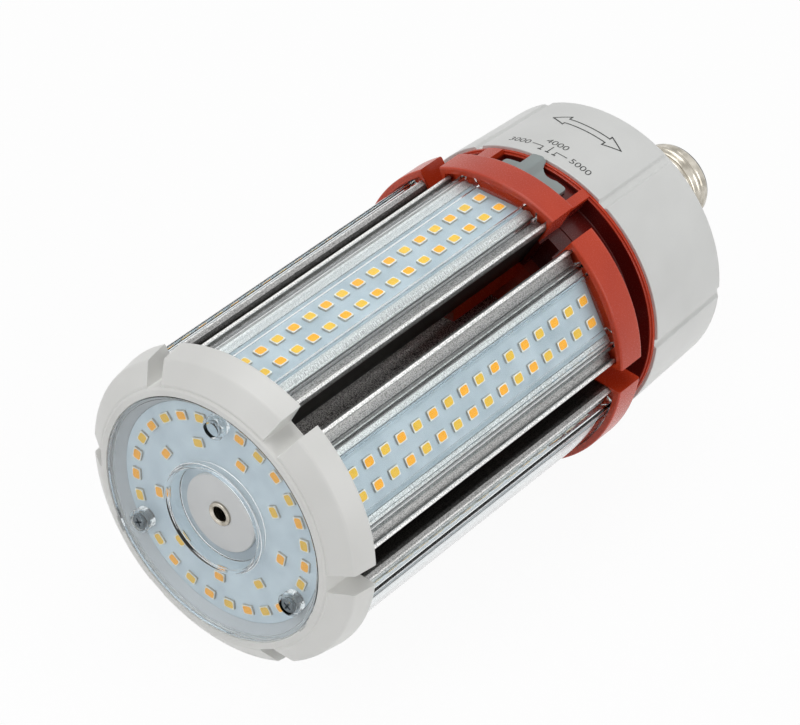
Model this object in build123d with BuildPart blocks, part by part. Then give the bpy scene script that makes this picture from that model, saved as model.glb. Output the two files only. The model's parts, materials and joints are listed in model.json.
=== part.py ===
"""Six-sided LED replacement lamp on an E26 screw base, lying on its side with its axis along X."""

from build123d import *
from math import cos, radians, sin, sqrt, tan
import os

os.makedirs("parts", exist_ok=True)

# Lengths along the lamp axis, in millimetres, from the LED end to the tip of the centre contact
cap_depth = 11.8
window_length = 106.3
hood_length = 9.5
recess_length = 8.6
flange_thickness = 2.6
housing_length = 32.0
neck_length = 15.0
shell_length = 22.5
insulator_height = 4.0
contact_height = 2.7

overall_length = (
    cap_depth + window_length + hood_length + recess_length + flange_thickness
    + housing_length + neck_length + shell_length + insulator_height + contact_height
)
ring_face = -overall_length / 2
cap_rear = ring_face + cap_depth
hood_front = cap_rear + window_length
hood_rear = hood_front + hood_length
flange_front = hood_rear + recess_length
housing_front = flange_front + flange_thickness
shoulder = housing_front + housing_length
shell_start = shoulder + neck_length
shell_end = shell_start + shell_length
contact_seat = shell_end + insulator_height
contact_tip = contact_seat + contact_height

# Radii from the lamp axis: the lugs of the cap and the hoods reach the lamp's own radius
lamp_radius = 46.0
flange_inset = 3.7
housing_inset = 2.7
housing_draft = 1.3
recess_depth = 10.0
cap_radius = lamp_radius
hood_radius = lamp_radius
flange_radius = lamp_radius - flange_inset
housing_front_radius = lamp_radius - housing_inset
housing_rear_radius = housing_front_radius - housing_draft
recess_radius = lamp_radius - recess_depth
axis_height = lamp_radius

# One side of the lamp: heights are measured outward from the lamp axis, widths from the side's middle
side_count = 6
tray_inset = 7.7
tray_thickness = 2.0
strip_board_thickness = 1.0
strip_board_margin = 3.8
rail_height = 1.2
rail_margin = 0.6
rail_nose = 0.5
groove_depth = 0.6
flange_drop = 0.4
lip_gap = 4.48
lip_width = 1.2
lip_height = 1.6
lip_bevel = 0.3
wall_lean = 7.8
wall_drop = 14.8
wall_thickness = 1.5
cover_inset = 2.2
cover_wall = 1.1
cover_half = 12.7
cover_shoulder = 1.8
hook_reach = 0.45
leg_lean = 1.9
leg_margin = 1.5
leg_thickness = 0.8
fit_gap = 0.15
slip = 0.05
clearance = 0.1

# LED packages
led_length = 3.5
led_width = 2.8
led_height = 0.74
led_row_offset = 3.3
leds_per_row = 16
first_led_inset = 2.8
last_led_inset = 5.16
led_pitch = (window_length - first_led_inset - last_led_inset) / (leds_per_row - 1)
outer_ring_inset = 4.0
outer_ring_colours = "-WCWCWCWC-WCWCWCWC-CWWCWCWC"
inner_ring_inset = 11.8
inner_ring_colours = "WCWCWCWWC"

# Cap, lens and hub
ring_inset = 7.4
ring_thickness = 2.2
ring_proud = 0.7
ring_bevel = 0.5
ring_wall = 1.4
lug_front_drop = 4.6
lug_taper = 1.1
slot_width = 5.6
slot_flare = 0.4
partition_depth = 6.0
partition_thickness = 1.8
tongue_half = 9.0
tongue_height = 5.0
tongue_length = 10.0
pillar_radius = 3.3
pillar_length = 8.0
lens_setback = 0.2
lens_wall = 1.6
lens_rim_wall = 1.2
lens_rim_depth = 1.9
well_inset = 6.1
well_draft = 0.8
well_wall = 1.2
end_board_inset = 3.4
end_board_thickness = 1.0
boss_inset = 3.2
boss_radius = 3.4
boss_foot_radius = 3.2
boss_bore = 2.35
screw_head_radius = 2.2
screw_head_height = 2.6
screw_recess_width = 0.6
screw_recess_length = 2.6
screw_head_drop = 0.4
screw_radius = 1.3
screw_length = 9.0
latch_width = 4.8
latch_reach = 0.55
latch_depth = 1.05
hub_inset = 2.6
hub_thickness = 1.0
hub_spigot = 6.7
hub_spigot_length = 11.0
bush_radius = 3.5
bush_bore = 2.2
bush_length = 12.4
bush_proud = 0.6
core_radius = 8.0
core_wall = 1.2

# Carrier, switch and housing
hood_half_angle = 25.3
carrier_wall = 2.2
end_play = 1.2
panel_reach = 1.4
finger_margin = 1.0
finger_height = 5.4
finger_length = 28.0
finger_bevel = 2.0
flange_step = 0.6
spigot_length = 6.0
housing_wall = 1.8
valley_width = 3.4
valley_floor_width = 1.4
valley_depth = 1.1
valley_rear_depth = 0.8
shoulder_rounding = 1.6
cone_length = 8.5
neck_step = 3.65
neck_wall = 1.8
switch_angle = -0.8
switch_travel = 3.2
slider_left_angle = 11.7
slider_right_angle = 17.3
slider_inset = 2.0
slider_length = 5.2
slider_thickness = 1.5
slider_float = 0.25
wing_corner = 1.2
thumb_sweep = 4.2
thumb_sweep_angle = 9.3
thumb_sweep_setback = 0.6
thumb_left_angle = 3.7
thumb_ridge_angle = 2.8
thumb_foot_angle = 7.8
thumb_edge_rise = 2.05
thumb_rise = 2.7
thumb_inset = 0.7
thumb_clearance = 0.9
bay_margin_angle = 0.9
bay_left_angle = 24.0
bay_right_angle = 24.6
bay_floor_rise = 4.2
bay_floor_thickness = 1.2
bay_block_inset = 3.0
stem_width = 4.2
stem_length = 3.0
switch_body_width = 12.0
switch_body_length = 5.6
switch_body_height = 5.0
switch_pocket_depth = 12.0
nub_size = 1.6

# Driver, which hangs from its board on the side away from the switch
driver_level = -6.0
driver_margin = 8.0
driver_board_thickness = 1.6
core_width = 20.0
core_height = 18.0
core_length = 16.0
coil_overhang = 3.0
core_place = -3.6
filter_cap_radius = 7.0
filter_cap_length = 22.0
filter_cap_place = 15.0
small_cap_radius = 5.0
small_cap_length = 12.0
small_cap_gap = 2.0

# Screw base
shell_radius = 13.15
shell_root_depth = 0.95
shell_wall = 0.45
thread_pitch = 3.629
thread_turns = 5
crest_width = 0.7
insulator_top_radius = 5.6
contact_radius = 5.2

lamp_axis = Axis((0, 0, axis_height), (1, 0, 0))
side_angles = [360 / side_count * k for k in range(side_count)]
slot_angles = [angle + 180 / side_count for angle in side_angles]
boss_angles = (0, 120, 240)
screw_angles = (120, 240)


def across(x, angle=0.0):
    """Plane square to the lamp axis at x, with its own Y pointing outward at the angle."""
    turn = radians(angle)
    return Plane(origin=(x, 0, axis_height), x_dir=(0, cos(turn), sin(turn)), z_dir=(1, 0, 0))


def along(angle=0.0):
    """Plane through the lamp axis, with X along it and its own Y pointing outward at the angle."""
    turn = radians(angle)
    return Plane(origin=(0, 0, axis_height), x_dir=(1, 0, 0), z_dir=(0, -cos(turn), -sin(turn)))


def outward(x, angle=0.0):
    """Plane through the lamp axis at x that faces outward at the angle, with its own X along the axis."""
    turn = radians(angle)
    return Plane(origin=(x, 0, axis_height), x_dir=(1, 0, 0), z_dir=(0, -sin(turn), cos(turn)))


def polar(radius, angle):
    """Point on an across plane, at an angle from its own Y in the sense that side angles grow."""
    return (-radius * sin(radians(angle)), radius * cos(radians(angle)))


def on_circle(radius, width):
    """Height of a circle about the lamp axis at a distance from a side's middle."""
    return sqrt(radius**2 - width**2)


def mirrored(points):
    """Closed outline made of a right half and its mirror image."""
    return points + [(-x, y) for x, y in reversed(points)]


def sector(inner, outer, start, end):
    """Ring segment about the lamp axis, drawn in the sketch that is open."""
    Circle(outer)
    Circle(inner, mode=Mode.SUBTRACT)
    Polygon(
        (0, 0), polar(2 * outer, start), polar(2 * outer, end),
        align=None, mode=Mode.INTERSECT,
    )


# Heights and widths that the pieces of one side share
tray_top = lamp_radius - tray_inset
tray_bottom = tray_top - tray_thickness
strip_board_top = tray_top + strip_board_thickness
strip_board_half = cover_half - strip_board_margin
rail_inner = strip_board_half + clearance
rail_outer = cover_half - cover_wall - rail_margin
rail_top = tray_top + rail_height
flange_top = tray_top - flange_drop
groove_floor = flange_top - groove_depth
groove_outer = cover_half + fit_gap
lip_half = flange_top * tan(radians(180 / side_count)) - lip_gap
lip_inner = lip_half - lip_width
wall_foot_half = lip_half - wall_lean
wall_foot_height = tray_top - wall_drop
cover_radius = lamp_radius - cover_inset
leg_foot_half = strip_board_half - leg_margin
leg_top_half = leg_foot_half + leg_lean
finger_half = wall_foot_half - finger_margin
lip_top = flange_top + lip_height
wall_slope = (lip_half - wall_foot_half) / (flange_top - wall_foot_height)
wall_across = wall_thickness * sqrt(1 + wall_slope**2)
tray_wall = wall_foot_half + (tray_bottom - wall_foot_height) * wall_slope - wall_across
cover_foot = groove_floor + fit_gap
pocket_radius = cover_radius + 0.35
pocket_half = lip_half + fit_gap

# Radii of the LED end, from the cap's ring inward
ring_radius = cap_radius - ring_inset
ring_bore = ring_radius - ring_thickness
lug_front_radius = cap_radius - lug_taper
latch_outer = ring_bore + latch_reach
latch_inner = latch_outer - latch_depth
end_board_radius = ring_bore - end_board_inset
boss_circle = end_board_radius - boss_inset
outer_ring_radius = end_board_radius - outer_ring_inset
inner_ring_radius = end_board_radius - inner_ring_inset
well_radius = inner_ring_radius - well_inset
well_foot_radius = well_radius - well_draft
hub_radius = well_foot_radius - hub_inset

# Radii of the switch, from the recess outward
bay_floor_radius = recess_radius + bay_floor_rise
bay_block_radius = lamp_radius - bay_block_inset

# Stations along the lamp axis that several pieces share
lens_front = ring_face + lens_setback
board_rear = ring_face + partition_depth
board_front = board_rear - end_board_thickness
partition_rear = board_rear + partition_thickness
panel_front = partition_rear + fit_gap
panel_rear = hood_front + panel_reach
cover_rear = panel_rear + 0.8
pocket_floor = panel_rear + end_play
slider_front = hood_rear + slider_inset
floor_under = bay_floor_radius - bay_floor_thickness
slider_under = bay_floor_radius + slider_float
slider_top = slider_under + slider_thickness
thumb_edge_radius = slider_top + thumb_edge_rise
thumb_radius = slider_top + thumb_rise

heat_sink_outline = mirrored([
    (rail_inner, tray_top),
    (rail_inner, rail_top),
    (rail_outer, rail_top),
    (rail_outer + rail_nose, rail_top - rail_nose),
    (rail_outer + rail_nose, rail_top - 2 * rail_nose + 0.1),
    (rail_outer, rail_top - 3 * rail_nose + 0.2),
    (rail_outer, groove_floor),
    (groove_outer, groove_floor),
    (groove_outer, flange_top),
    (lip_inner, flange_top),
    (lip_inner, lip_top - lip_bevel),
    (lip_inner + lip_bevel, lip_top),
    (lip_half - lip_bevel, lip_top),
    (lip_half, lip_top - lip_bevel),
    (lip_half, flange_top),
    (wall_foot_half, wall_foot_height),
    (wall_foot_half - wall_across, wall_foot_height),
    (tray_wall, tray_bottom),
])

# Clear space round one side's end, open above, with walls that follow the heat sink
pocket_outline = mirrored([
    (pocket_half, cap_radius),
    (pocket_half, flange_top),
    (wall_foot_half + fit_gap, wall_foot_height - fit_gap),
])


# White castellated cap at the LED end
with BuildPart() as end_cap:
    with BuildSketch(along()):
        Polygon(
            (ring_face, ring_bore),
            (ring_face, ring_radius - ring_bevel),
            (ring_face + ring_bevel, ring_radius),
            (ring_face + ring_proud, ring_radius),
            (ring_face + ring_proud, ring_radius + ring_bevel),
            (ring_face + lug_front_drop, lug_front_radius),
            (cap_rear, cap_radius),
            (cap_rear, ring_radius - ring_wall),
            (partition_rear, ring_radius - ring_wall),
            (partition_rear, core_radius + slip),
            (board_rear, core_radius + slip),
            (board_rear, end_board_radius + clearance),
            (board_front, end_board_radius + clearance),
            (lens_front + lens_rim_depth + slip, ring_bore - 1.0),
            (lens_front + lens_rim_depth + slip, ring_bore),
            align=None,
        )
    revolve(axis=lamp_axis)
    # Six slots part the lugs and stop at the ring's wall
    for angle in slot_angles:
        with BuildSketch(across(ring_face + ring_proud, angle)):
            Polygon(
                *mirrored([
                    (slot_width / 2 + slot_flare, cap_radius + 1),
                    (slot_width / 2 + slot_flare, lug_front_radius),
                    (slot_width / 2, ring_radius),
                ]),
                align=None,
            )
        extrude(amount=cap_depth, mode=Mode.SUBTRACT)
    # Each lug is hollow from behind, for the end of one side
    for angle in side_angles:
        with BuildSketch(across(partition_rear, angle)):
            Polygon(*pocket_outline, align=None)
            Circle(pocket_radius, mode=Mode.INTERSECT)
        extrude(amount=cap_depth, mode=Mode.SUBTRACT)
    # Tongues hold the heat sinks' trays from within, and pillars take the lens screws
    for angle in side_angles:
        with BuildSketch(across(partition_rear - 0.5, angle)):
            with Locations((0, tray_bottom - fit_gap)):
                Rectangle(2 * tongue_half, tongue_height, align=(Align.CENTER, Align.MAX))
        extrude(amount=tongue_length)
    for angle in boss_angles:
        with BuildSketch(across(board_rear, angle)):
            with Locations((0, boss_circle)):
                Circle(pillar_radius)
        extrude(amount=pillar_length)
    for angle in screw_angles:
        with BuildSketch(across(board_rear, angle)):
            with Locations((0, boss_circle)):
                Circle(screw_radius + slip)
        extrude(amount=pillar_length - 1, mode=Mode.SUBTRACT)
    # Latch windows behind the rim of the lens
    for angle in screw_angles:
        with BuildSketch(across(ring_face, angle)):
            with Locations((0, latch_inner)):
                Rectangle(latch_width, latch_outer - latch_inner, align=(Align.CENTER, Align.MIN))
        extrude(amount=partition_depth + partition_thickness, mode=Mode.SUBTRACT)
end_cap.part.label = "end_cap"
export_step(end_cap.part, "parts/end_cap.step")


# Clear moulded window with a central well and three hollow bosses
with BuildPart() as end_lens:
    with BuildSketch(along()):
        Polygon(
            (lens_front, well_radius + 0.5),
            (lens_front, ring_bore - clearance),
            (lens_front + lens_rim_depth, ring_bore - clearance),
            (lens_front + lens_rim_depth, ring_bore - clearance - lens_rim_wall),
            (lens_front + lens_wall, ring_bore - clearance - lens_rim_wall),
            (lens_front + lens_wall, well_radius + well_wall),
            (board_front - slip, well_foot_radius + well_wall),
            (board_front - slip, well_foot_radius),
            (lens_front + 0.5, well_radius),
            align=None,
        )
    revolve(axis=lamp_axis)
    for angle in boss_angles:
        with BuildSketch(across(lens_front + lens_wall - 0.4, angle)):
            with Locations((0, boss_circle)):
                Circle(boss_radius)
        with BuildSketch(across(board_front - slip, angle)):
            with Locations((0, boss_circle)):
                Circle(boss_foot_radius)
        loft()
    for angle in boss_angles:
        head_depth = screw_head_drop + screw_head_height
        if angle not in screw_angles:
            head_depth = board_front - lens_front - 1.0
        with BuildSketch(across(lens_front, angle)):
            with Locations((0, boss_circle)):
                Circle(boss_bore)
        extrude(amount=head_depth, mode=Mode.SUBTRACT)
        with BuildSketch(across(lens_front, angle)):
            with Locations((0, boss_circle)):
                Circle(screw_radius + 2 * clearance)
        extrude(amount=board_front - lens_front, mode=Mode.SUBTRACT)
end_lens.part.label = "end_lens"
export_step(end_lens.part, "parts/end_lens.step")


with BuildPart() as end_board:
    with BuildSketch(across(board_front)):
        Circle(end_board_radius)
        Circle(hub_spigot + clearance, mode=Mode.SUBTRACT)
        for angle in screw_angles:
            with Locations(polar(boss_circle, angle)):
                Circle(screw_radius + 2 * clearance, mode=Mode.SUBTRACT)
    extrude(amount=end_board_thickness)
end_board.part.label = "end_board"
export_step(end_board.part, "parts/end_board.step")


def end_led_places(colour):
    """Angle and radius of each LED of one colour on the round board."""
    outer = [
        (360 / len(outer_ring_colours) * k, outer_ring_radius)
        for k, kind in enumerate(outer_ring_colours) if kind == colour
    ]
    inner = [
        (360 / len(inner_ring_colours) * (k + 0.5), inner_ring_radius)
        for k, kind in enumerate(inner_ring_colours) if kind == colour
    ]
    return outer + inner


for name, colour in (("end_leds_warm", "W"), ("end_leds_cool", "C")):
    with BuildPart() as end_leds:
        for angle, radius in end_led_places(colour):
            with BuildSketch(across(board_front - led_height, angle)):
                with Locations((0, radius)):
                    Rectangle(led_length, led_width)
            extrude(amount=led_height)
    end_leds.part.label = name
    export_step(end_leds.part, f"parts/{name}.step")


with BuildPart() as lens_screws:
    for angle in screw_angles:
        with BuildSketch(across(lens_front + screw_head_drop, angle)):
            with Locations((0, boss_circle)):
                Circle(screw_head_radius)
        extrude(amount=screw_head_height)
        with BuildSketch(across(lens_front + screw_head_drop, angle)):
            with Locations((0, boss_circle)):
                Rectangle(screw_recess_length, screw_recess_width)
                Rectangle(screw_recess_width, screw_recess_length)
        extrude(amount=screw_head_height / 2, mode=Mode.SUBTRACT)
        with BuildSketch(across(lens_front + screw_head_drop + screw_head_height, angle)):
            with Locations((0, boss_circle)):
                Circle(screw_radius)
        extrude(amount=screw_length)
lens_screws.part.label = "lens_screws"
export_step(lens_screws.part, "parts/lens_screws.step")


# Pale plug in the well, which carries the threaded bush
with BuildPart() as hub_disc:
    with BuildSketch(along()):
        Polygon(
            (board_front - hub_thickness, bush_radius + 0.02),
            (board_front - hub_thickness, hub_radius - 0.3),
            (board_front - hub_thickness + 0.3, hub_radius),
            (board_front, hub_radius),
            (board_front, hub_spigot),
            (board_front + hub_spigot_length, hub_spigot),
            (board_front + hub_spigot_length, bush_radius + 0.02),
            align=None,
        )
    revolve(axis=lamp_axis)
hub_disc.part.label = "hub_disc"
export_step(hub_disc.part, "parts/hub_disc.step")

bush_front = board_front - hub_thickness - bush_proud
with BuildPart() as hub_bush:
    with BuildSketch(along()):
        Polygon(
            (bush_front, bush_bore + 0.3),
            (bush_front, bush_radius - 0.25),
            (bush_front + 0.25, bush_radius),
            (bush_front + bush_length, bush_radius),
            (bush_front + bush_length, bush_bore),
            (bush_front + 0.3, bush_bore),
            align=None,
        )
    revolve(axis=lamp_axis)
hub_bush.part.label = "hub_bush"
export_step(hub_bush.part, "parts/hub_bush.step")

with BuildPart() as core_tube:
    with BuildSketch(across(board_rear)):
        Circle(core_radius)
        Circle(core_radius - core_wall, mode=Mode.SUBTRACT)
    extrude(amount=pocket_floor - board_rear)
core_tube.part.label = "core_tube"
export_step(core_tube.part, "parts/core_tube.step")


# Section of the clear strip cover: a roof about the lamp axis, two hooked sides and two legs
with BuildSketch() as cover_roof:
    Circle(cover_radius)
    with Locations((0, cover_foot)):
        Rectangle(2 * cover_half, cover_radius, align=(Align.CENTER, Align.MIN), mode=Mode.INTERSECT)
    fillet(cover_roof.vertices().group_by(Axis.Y)[-1], cover_shoulder)
with BuildSketch() as cover_space:
    Circle(cover_radius - cover_wall)
    with Locations((0, cover_foot - 1)):
        Rectangle(
            2 * (cover_half - cover_wall), cover_radius,
            align=(Align.CENTER, Align.MIN), mode=Mode.INTERSECT,
        )
    fillet(cover_space.vertices().group_by(Axis.Y)[-1], cover_shoulder - cover_wall + 0.2)
with BuildSketch() as cover_section:
    add(cover_roof.sketch)
    add(cover_space.sketch, mode=Mode.SUBTRACT)
    leg_top = on_circle(cover_radius - cover_wall / 2, leg_top_half)
    for side in (-1, 1):
        inner = cover_half - cover_wall
        Polygon(
            (side * (inner + 0.2), cover_foot),
            (side * (inner - hook_reach), cover_foot + 0.15),
            (side * (inner - hook_reach), cover_foot + 0.45),
            (side * (inner + 0.2), cover_foot + 0.9),
            align=None,
        )
        Polygon(
            (side * (leg_top_half - leg_thickness / 2), leg_top),
            (side * (leg_top_half + leg_thickness / 2), leg_top),
            (side * (leg_foot_half + leg_thickness / 2), strip_board_top + slip),
            (side * (leg_foot_half - leg_thickness / 2), strip_board_top + slip),
            align=None,
        )

for number, angle in enumerate(side_angles, 1):
    with BuildPart() as heat_sink:
        with BuildSketch(across(panel_front, angle)):
            Polygon(*heat_sink_outline, align=None)
        extrude(amount=panel_rear - panel_front)
    heat_sink.part.label = f"heat_sink_{number}"
    export_step(heat_sink.part, f"parts/heat_sink_{number}.step")

    with BuildPart() as strip_board:
        with BuildSketch(across(panel_front + 0.3, angle)):
            with Locations((0, tray_top)):
                Rectangle(
                    2 * strip_board_half, strip_board_thickness, align=(Align.CENTER, Align.MIN)
                )
        extrude(amount=panel_rear - panel_front - 0.5)
    strip_board.part.label = f"strip_board_{number}"
    export_step(strip_board.part, f"parts/strip_board_{number}.step")

    for name, first in (("warm_leds", 0), ("cool_leds", 1)):
        with BuildPart() as leds:
            for place in range(first, leds_per_row, 2):
                middle = hood_front - first_led_inset - place * led_pitch
                with BuildSketch(across(middle - led_length / 2, angle)):
                    with Locations((-led_row_offset, strip_board_top), (led_row_offset, strip_board_top)):
                        Rectangle(led_width, led_height, align=(Align.CENTER, Align.MIN))
                extrude(amount=led_length)
        leds.part.label = f"{name}_{number}"
        export_step(leds.part, f"parts/{name}_{number}.step")

    with BuildPart() as strip_cover:
        with BuildSketch(across(panel_front + clearance, angle)):
            add(cover_section.sketch)
        extrude(amount=cover_rear - panel_front - clearance)
    strip_cover.part.label = f"strip_cover_{number}"
    export_step(strip_cover.part, f"parts/strip_cover_{number}.step")


# Red carrier: hoods over the strip ends, fingers, a flange and a spigot in the housing
finger_top = wall_foot_height - fit_gap - 0.2
with BuildPart() as base_carrier:
    with BuildSketch(along()):
        inner_radius = recess_radius - carrier_wall
        spigot_radius = housing_front_radius - housing_wall - 0.45
        Polygon(
            (hood_front, core_radius + slip),
            (hood_front, hood_radius - 0.5),
            (hood_front + 0.5, hood_radius),
            (hood_rear - 0.5, hood_radius),
            (hood_rear, hood_radius - 0.5),
            (hood_rear, recess_radius),
            (flange_front, recess_radius),
            (flange_front, flange_radius - flange_step),
            (flange_front + flange_step, flange_radius - flange_step),
            (flange_front + flange_step, flange_radius),
            (housing_front, flange_radius),
            (housing_front, spigot_radius),
            (housing_front + spigot_length, spigot_radius),
            (housing_front + spigot_length, spigot_radius - carrier_wall),
            (housing_front + 0.4, inner_radius),
            (pocket_floor + carrier_wall, inner_radius),
            (pocket_floor + carrier_wall, core_radius + slip),
            align=None,
        )
    revolve(axis=lamp_axis)
    for angle in slot_angles:
        with BuildSketch(across(hood_front, angle)):
            sector(recess_radius, hood_radius + 2, hood_half_angle - 30, 30 - hood_half_angle)
        extrude(amount=hood_length, mode=Mode.SUBTRACT)
    for angle in side_angles:
        with BuildSketch(across(hood_front, angle)):
            Polygon(*pocket_outline, align=None)
            Circle(pocket_radius, mode=Mode.INTERSECT)
        extrude(amount=pocket_floor - hood_front, mode=Mode.SUBTRACT)
    # Fingers reach between the heat sinks' feet, with a bevelled tip
    for angle in side_angles:
        with BuildSketch(along(angle)):
            Polygon(
                (hood_front + 0.5, finger_top),
                (hood_front - finger_length + finger_bevel, finger_top),
                (hood_front - finger_length, finger_top - finger_bevel),
                (hood_front - finger_length, finger_top - finger_height),
                (hood_front + 0.5, finger_top - finger_height),
                align=None,
            )
        extrude(amount=finger_half, both=True)
    # Bay of the switch under the top hood, closed by a block at each end
    with BuildSketch(across(hood_rear - 0.2)):
        sector(recess_radius - 0.5, bay_floor_radius, -bay_left_angle, bay_right_angle)
    extrude(amount=recess_length + 0.4)
    block_starts = (
        (-bay_left_angle, switch_angle - switch_travel - slider_left_angle - bay_margin_angle),
        (switch_angle + switch_travel + slider_right_angle + bay_margin_angle, bay_right_angle),
    )
    for start, end in block_starts:
        with BuildSketch(across(hood_rear - 0.2)):
            sector(recess_radius, bay_block_radius, start, end)
        extrude(amount=recess_length + 0.4)
    # Pocket of the switch body, open to the inside, and the slot for the stem
    body_middle = slider_front + slider_length / 2
    with BuildSketch(across(body_middle - switch_body_length / 2 - 0.1, switch_angle)):
        with Locations((0, floor_under)):
            Rectangle(
                switch_body_width + 2 * clearance, switch_pocket_depth, align=(Align.CENTER, Align.MAX)
            )
    extrude(amount=switch_body_length + 0.2, mode=Mode.SUBTRACT)
    slot_half = stem_width / 2 + bay_floor_radius * sin(radians(switch_travel)) + 0.3
    with BuildSketch(across(body_middle - stem_length / 2 - 0.3, switch_angle)):
        with Locations((0, floor_under - 1)):
            Rectangle(2 * slot_half, 4, align=(Align.CENTER, Align.MIN))
    extrude(amount=stem_length + 0.6, mode=Mode.SUBTRACT)
base_carrier.part.label = "base_carrier"
export_step(base_carrier.part, "parts/base_carrier.step")


# Grey thumb piece of the colour switch, curved about the lamp axis
with BuildSketch() as thumb_section:
    with BuildLine():
        Line(polar(slider_under, -thumb_left_angle), polar(thumb_edge_radius, -thumb_left_angle))
        Line(polar(thumb_edge_radius, -thumb_left_angle), polar(thumb_radius, thumb_ridge_angle))
        ThreePointArc(
            polar(thumb_radius, thumb_ridge_angle),
            polar(slider_top + 0.8, (thumb_ridge_angle + thumb_foot_angle) / 2 - 0.5),
            polar(slider_top, thumb_foot_angle),
        )
        Line(polar(slider_top, thumb_foot_angle), polar(slider_under, thumb_foot_angle))
        Line(polar(slider_under, thumb_foot_angle), polar(slider_under, -thumb_left_angle))
    make_face()
    Circle(slider_under, mode=Mode.SUBTRACT)
thumb_start = hood_rear + thumb_inset
thumb_step = flange_front - 0.5
thumb_end = housing_front - thumb_clearance
wing_left = slider_top * sin(radians(slider_left_angle))
wing_right = slider_top * sin(radians(slider_right_angle))
with BuildPart() as slider_wings:
    with BuildSketch(across(slider_front, switch_angle)):
        sector(slider_under, slider_top, -slider_left_angle, slider_right_angle)
    extrude(amount=slider_length)
    # The wings' outline has rounded corners, seen from outside
    with BuildSketch(outward(body_middle, switch_angle)):
        with Locations((0, (wing_left - wing_right) / 2)):
            RectangleRounded(slider_length, wing_left + wing_right, wing_corner)
    extrude(amount=lamp_radius, mode=Mode.INTERSECT)

with BuildPart() as switch_slider:
    add(slider_wings.part)
    with BuildSketch(across(thumb_start, switch_angle)):
        add(thumb_section.sketch)
    extrude(amount=thumb_step - thumb_start)
    # The thumb piece steps over the flange
    with BuildSketch(across(thumb_step, switch_angle)):
        add(thumb_section.sketch)
        Circle(flange_radius + 3 * clearance, mode=Mode.SUBTRACT)
    extrude(amount=thumb_end - thumb_step)
    # A round hollow sweeps from the thumb piece's rear corner into the long wing
    with BuildSketch(outward(thumb_end + thumb_sweep_setback, switch_angle + thumb_sweep_angle)):
        Circle(thumb_sweep)
    extrude(amount=lamp_radius + flange_inset, mode=Mode.SUBTRACT)
    with BuildSketch(across(body_middle - stem_length / 2, switch_angle)):
        with Locations((0, floor_under - 0.1)):
            Rectangle(
                stem_width, slider_under + 0.5 - floor_under + 0.1, align=(Align.CENTER, Align.MIN)
            )
    extrude(amount=stem_length)
    with BuildSketch(across(body_middle - nub_size / 2 - 0.1, switch_angle)):
        with Locations((0, floor_under - 0.2)):
            Rectangle(nub_size + 0.2, bay_floor_thickness, align=(Align.CENTER, Align.MIN))
    extrude(amount=nub_size + 0.2, mode=Mode.SUBTRACT)
switch_slider.part.label = "switch_slider"
export_step(switch_slider.part, "parts/switch_slider.step")

body_top = floor_under - 0.6
with BuildPart() as switch_nub:
    with BuildSketch(across(body_middle - nub_size / 2, switch_angle)):
        with Locations((0, body_top - 0.7)):
            Rectangle(
                nub_size, floor_under + bay_floor_thickness - 0.3 - body_top + 0.7,
                align=(Align.CENTER, Align.MIN),
            )
    extrude(amount=nub_size)
switch_nub.part.label = "switch_nub"
export_step(switch_nub.part, "parts/switch_nub.step")

with BuildPart() as switch_body:
    with BuildSketch(across(body_middle - switch_body_length / 2, switch_angle)):
        with Locations((0, body_top)):
            Rectangle(switch_body_width, switch_body_height, align=(Align.CENTER, Align.MAX))
    extrude(amount=switch_body_length)
    with BuildSketch(across(body_middle - nub_size / 2 - 0.2, switch_angle)):
        with Locations((0, body_top)):
            Rectangle(
                nub_size + 2 * body_top * sin(radians(switch_travel)) + 1.2, 2.0,
            )
    extrude(amount=nub_size + 0.4, mode=Mode.SUBTRACT)
switch_body.part.label = "switch_body"
export_step(switch_body.part, "parts/switch_body.step")


# White housing of the driver, with six valleys and a shoulder cone
cone_start = shoulder + shoulder_rounding
cone_top = housing_rear_radius - shoulder_rounding
cone_end = shoulder + cone_length
neck_radius = shell_radius + neck_step
with BuildPart() as driver_housing:
    with BuildSketch(along()):
        Polygon(
            (housing_front, housing_front_radius - housing_wall),
            (housing_front, housing_front_radius),
            (shoulder - 0.3, housing_rear_radius),
            (shoulder + shoulder_rounding * 0.4, housing_rear_radius - shoulder_rounding * 0.25),
            (cone_start, cone_top - 0.4),
            (cone_end - 0.6, neck_radius + 1.4),
            (cone_end, neck_radius + 0.7),
            (cone_end, neck_radius - neck_wall),
            (cone_end - 1.6, neck_radius - neck_wall),
            (shoulder, cone_top - 1.2),
            (shoulder - 1.5, housing_rear_radius - housing_wall),
            align=None,
        )
    revolve(axis=lamp_axis)
    for angle in slot_angles:
        floor_front = housing_front_radius - valley_depth
        floor_rear = housing_rear_radius - valley_rear_depth
        drop = (floor_front - floor_rear) / housing_length
        with BuildSketch(across(housing_front - 0.5, angle)):
            Polygon(
                *mirrored([
                    (valley_width / 2 + 0.5, housing_front_radius + 0.5),
                    (valley_floor_width / 2, floor_front + 0.5 * drop),
                ]),
                align=None,
            )
        with BuildSketch(across(shoulder + 3, angle)):
            Polygon(
                *mirrored([
                    (valley_width / 2 + 0.5, housing_rear_radius + 0.5 - 3 * drop),
                    (valley_floor_width / 2, floor_rear - 3 * drop),
                ]),
                align=None,
            )
        loft(mode=Mode.SUBTRACT)
driver_housing.part.label = "driver_housing"
export_step(driver_housing.part, "parts/driver_housing.step")

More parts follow.
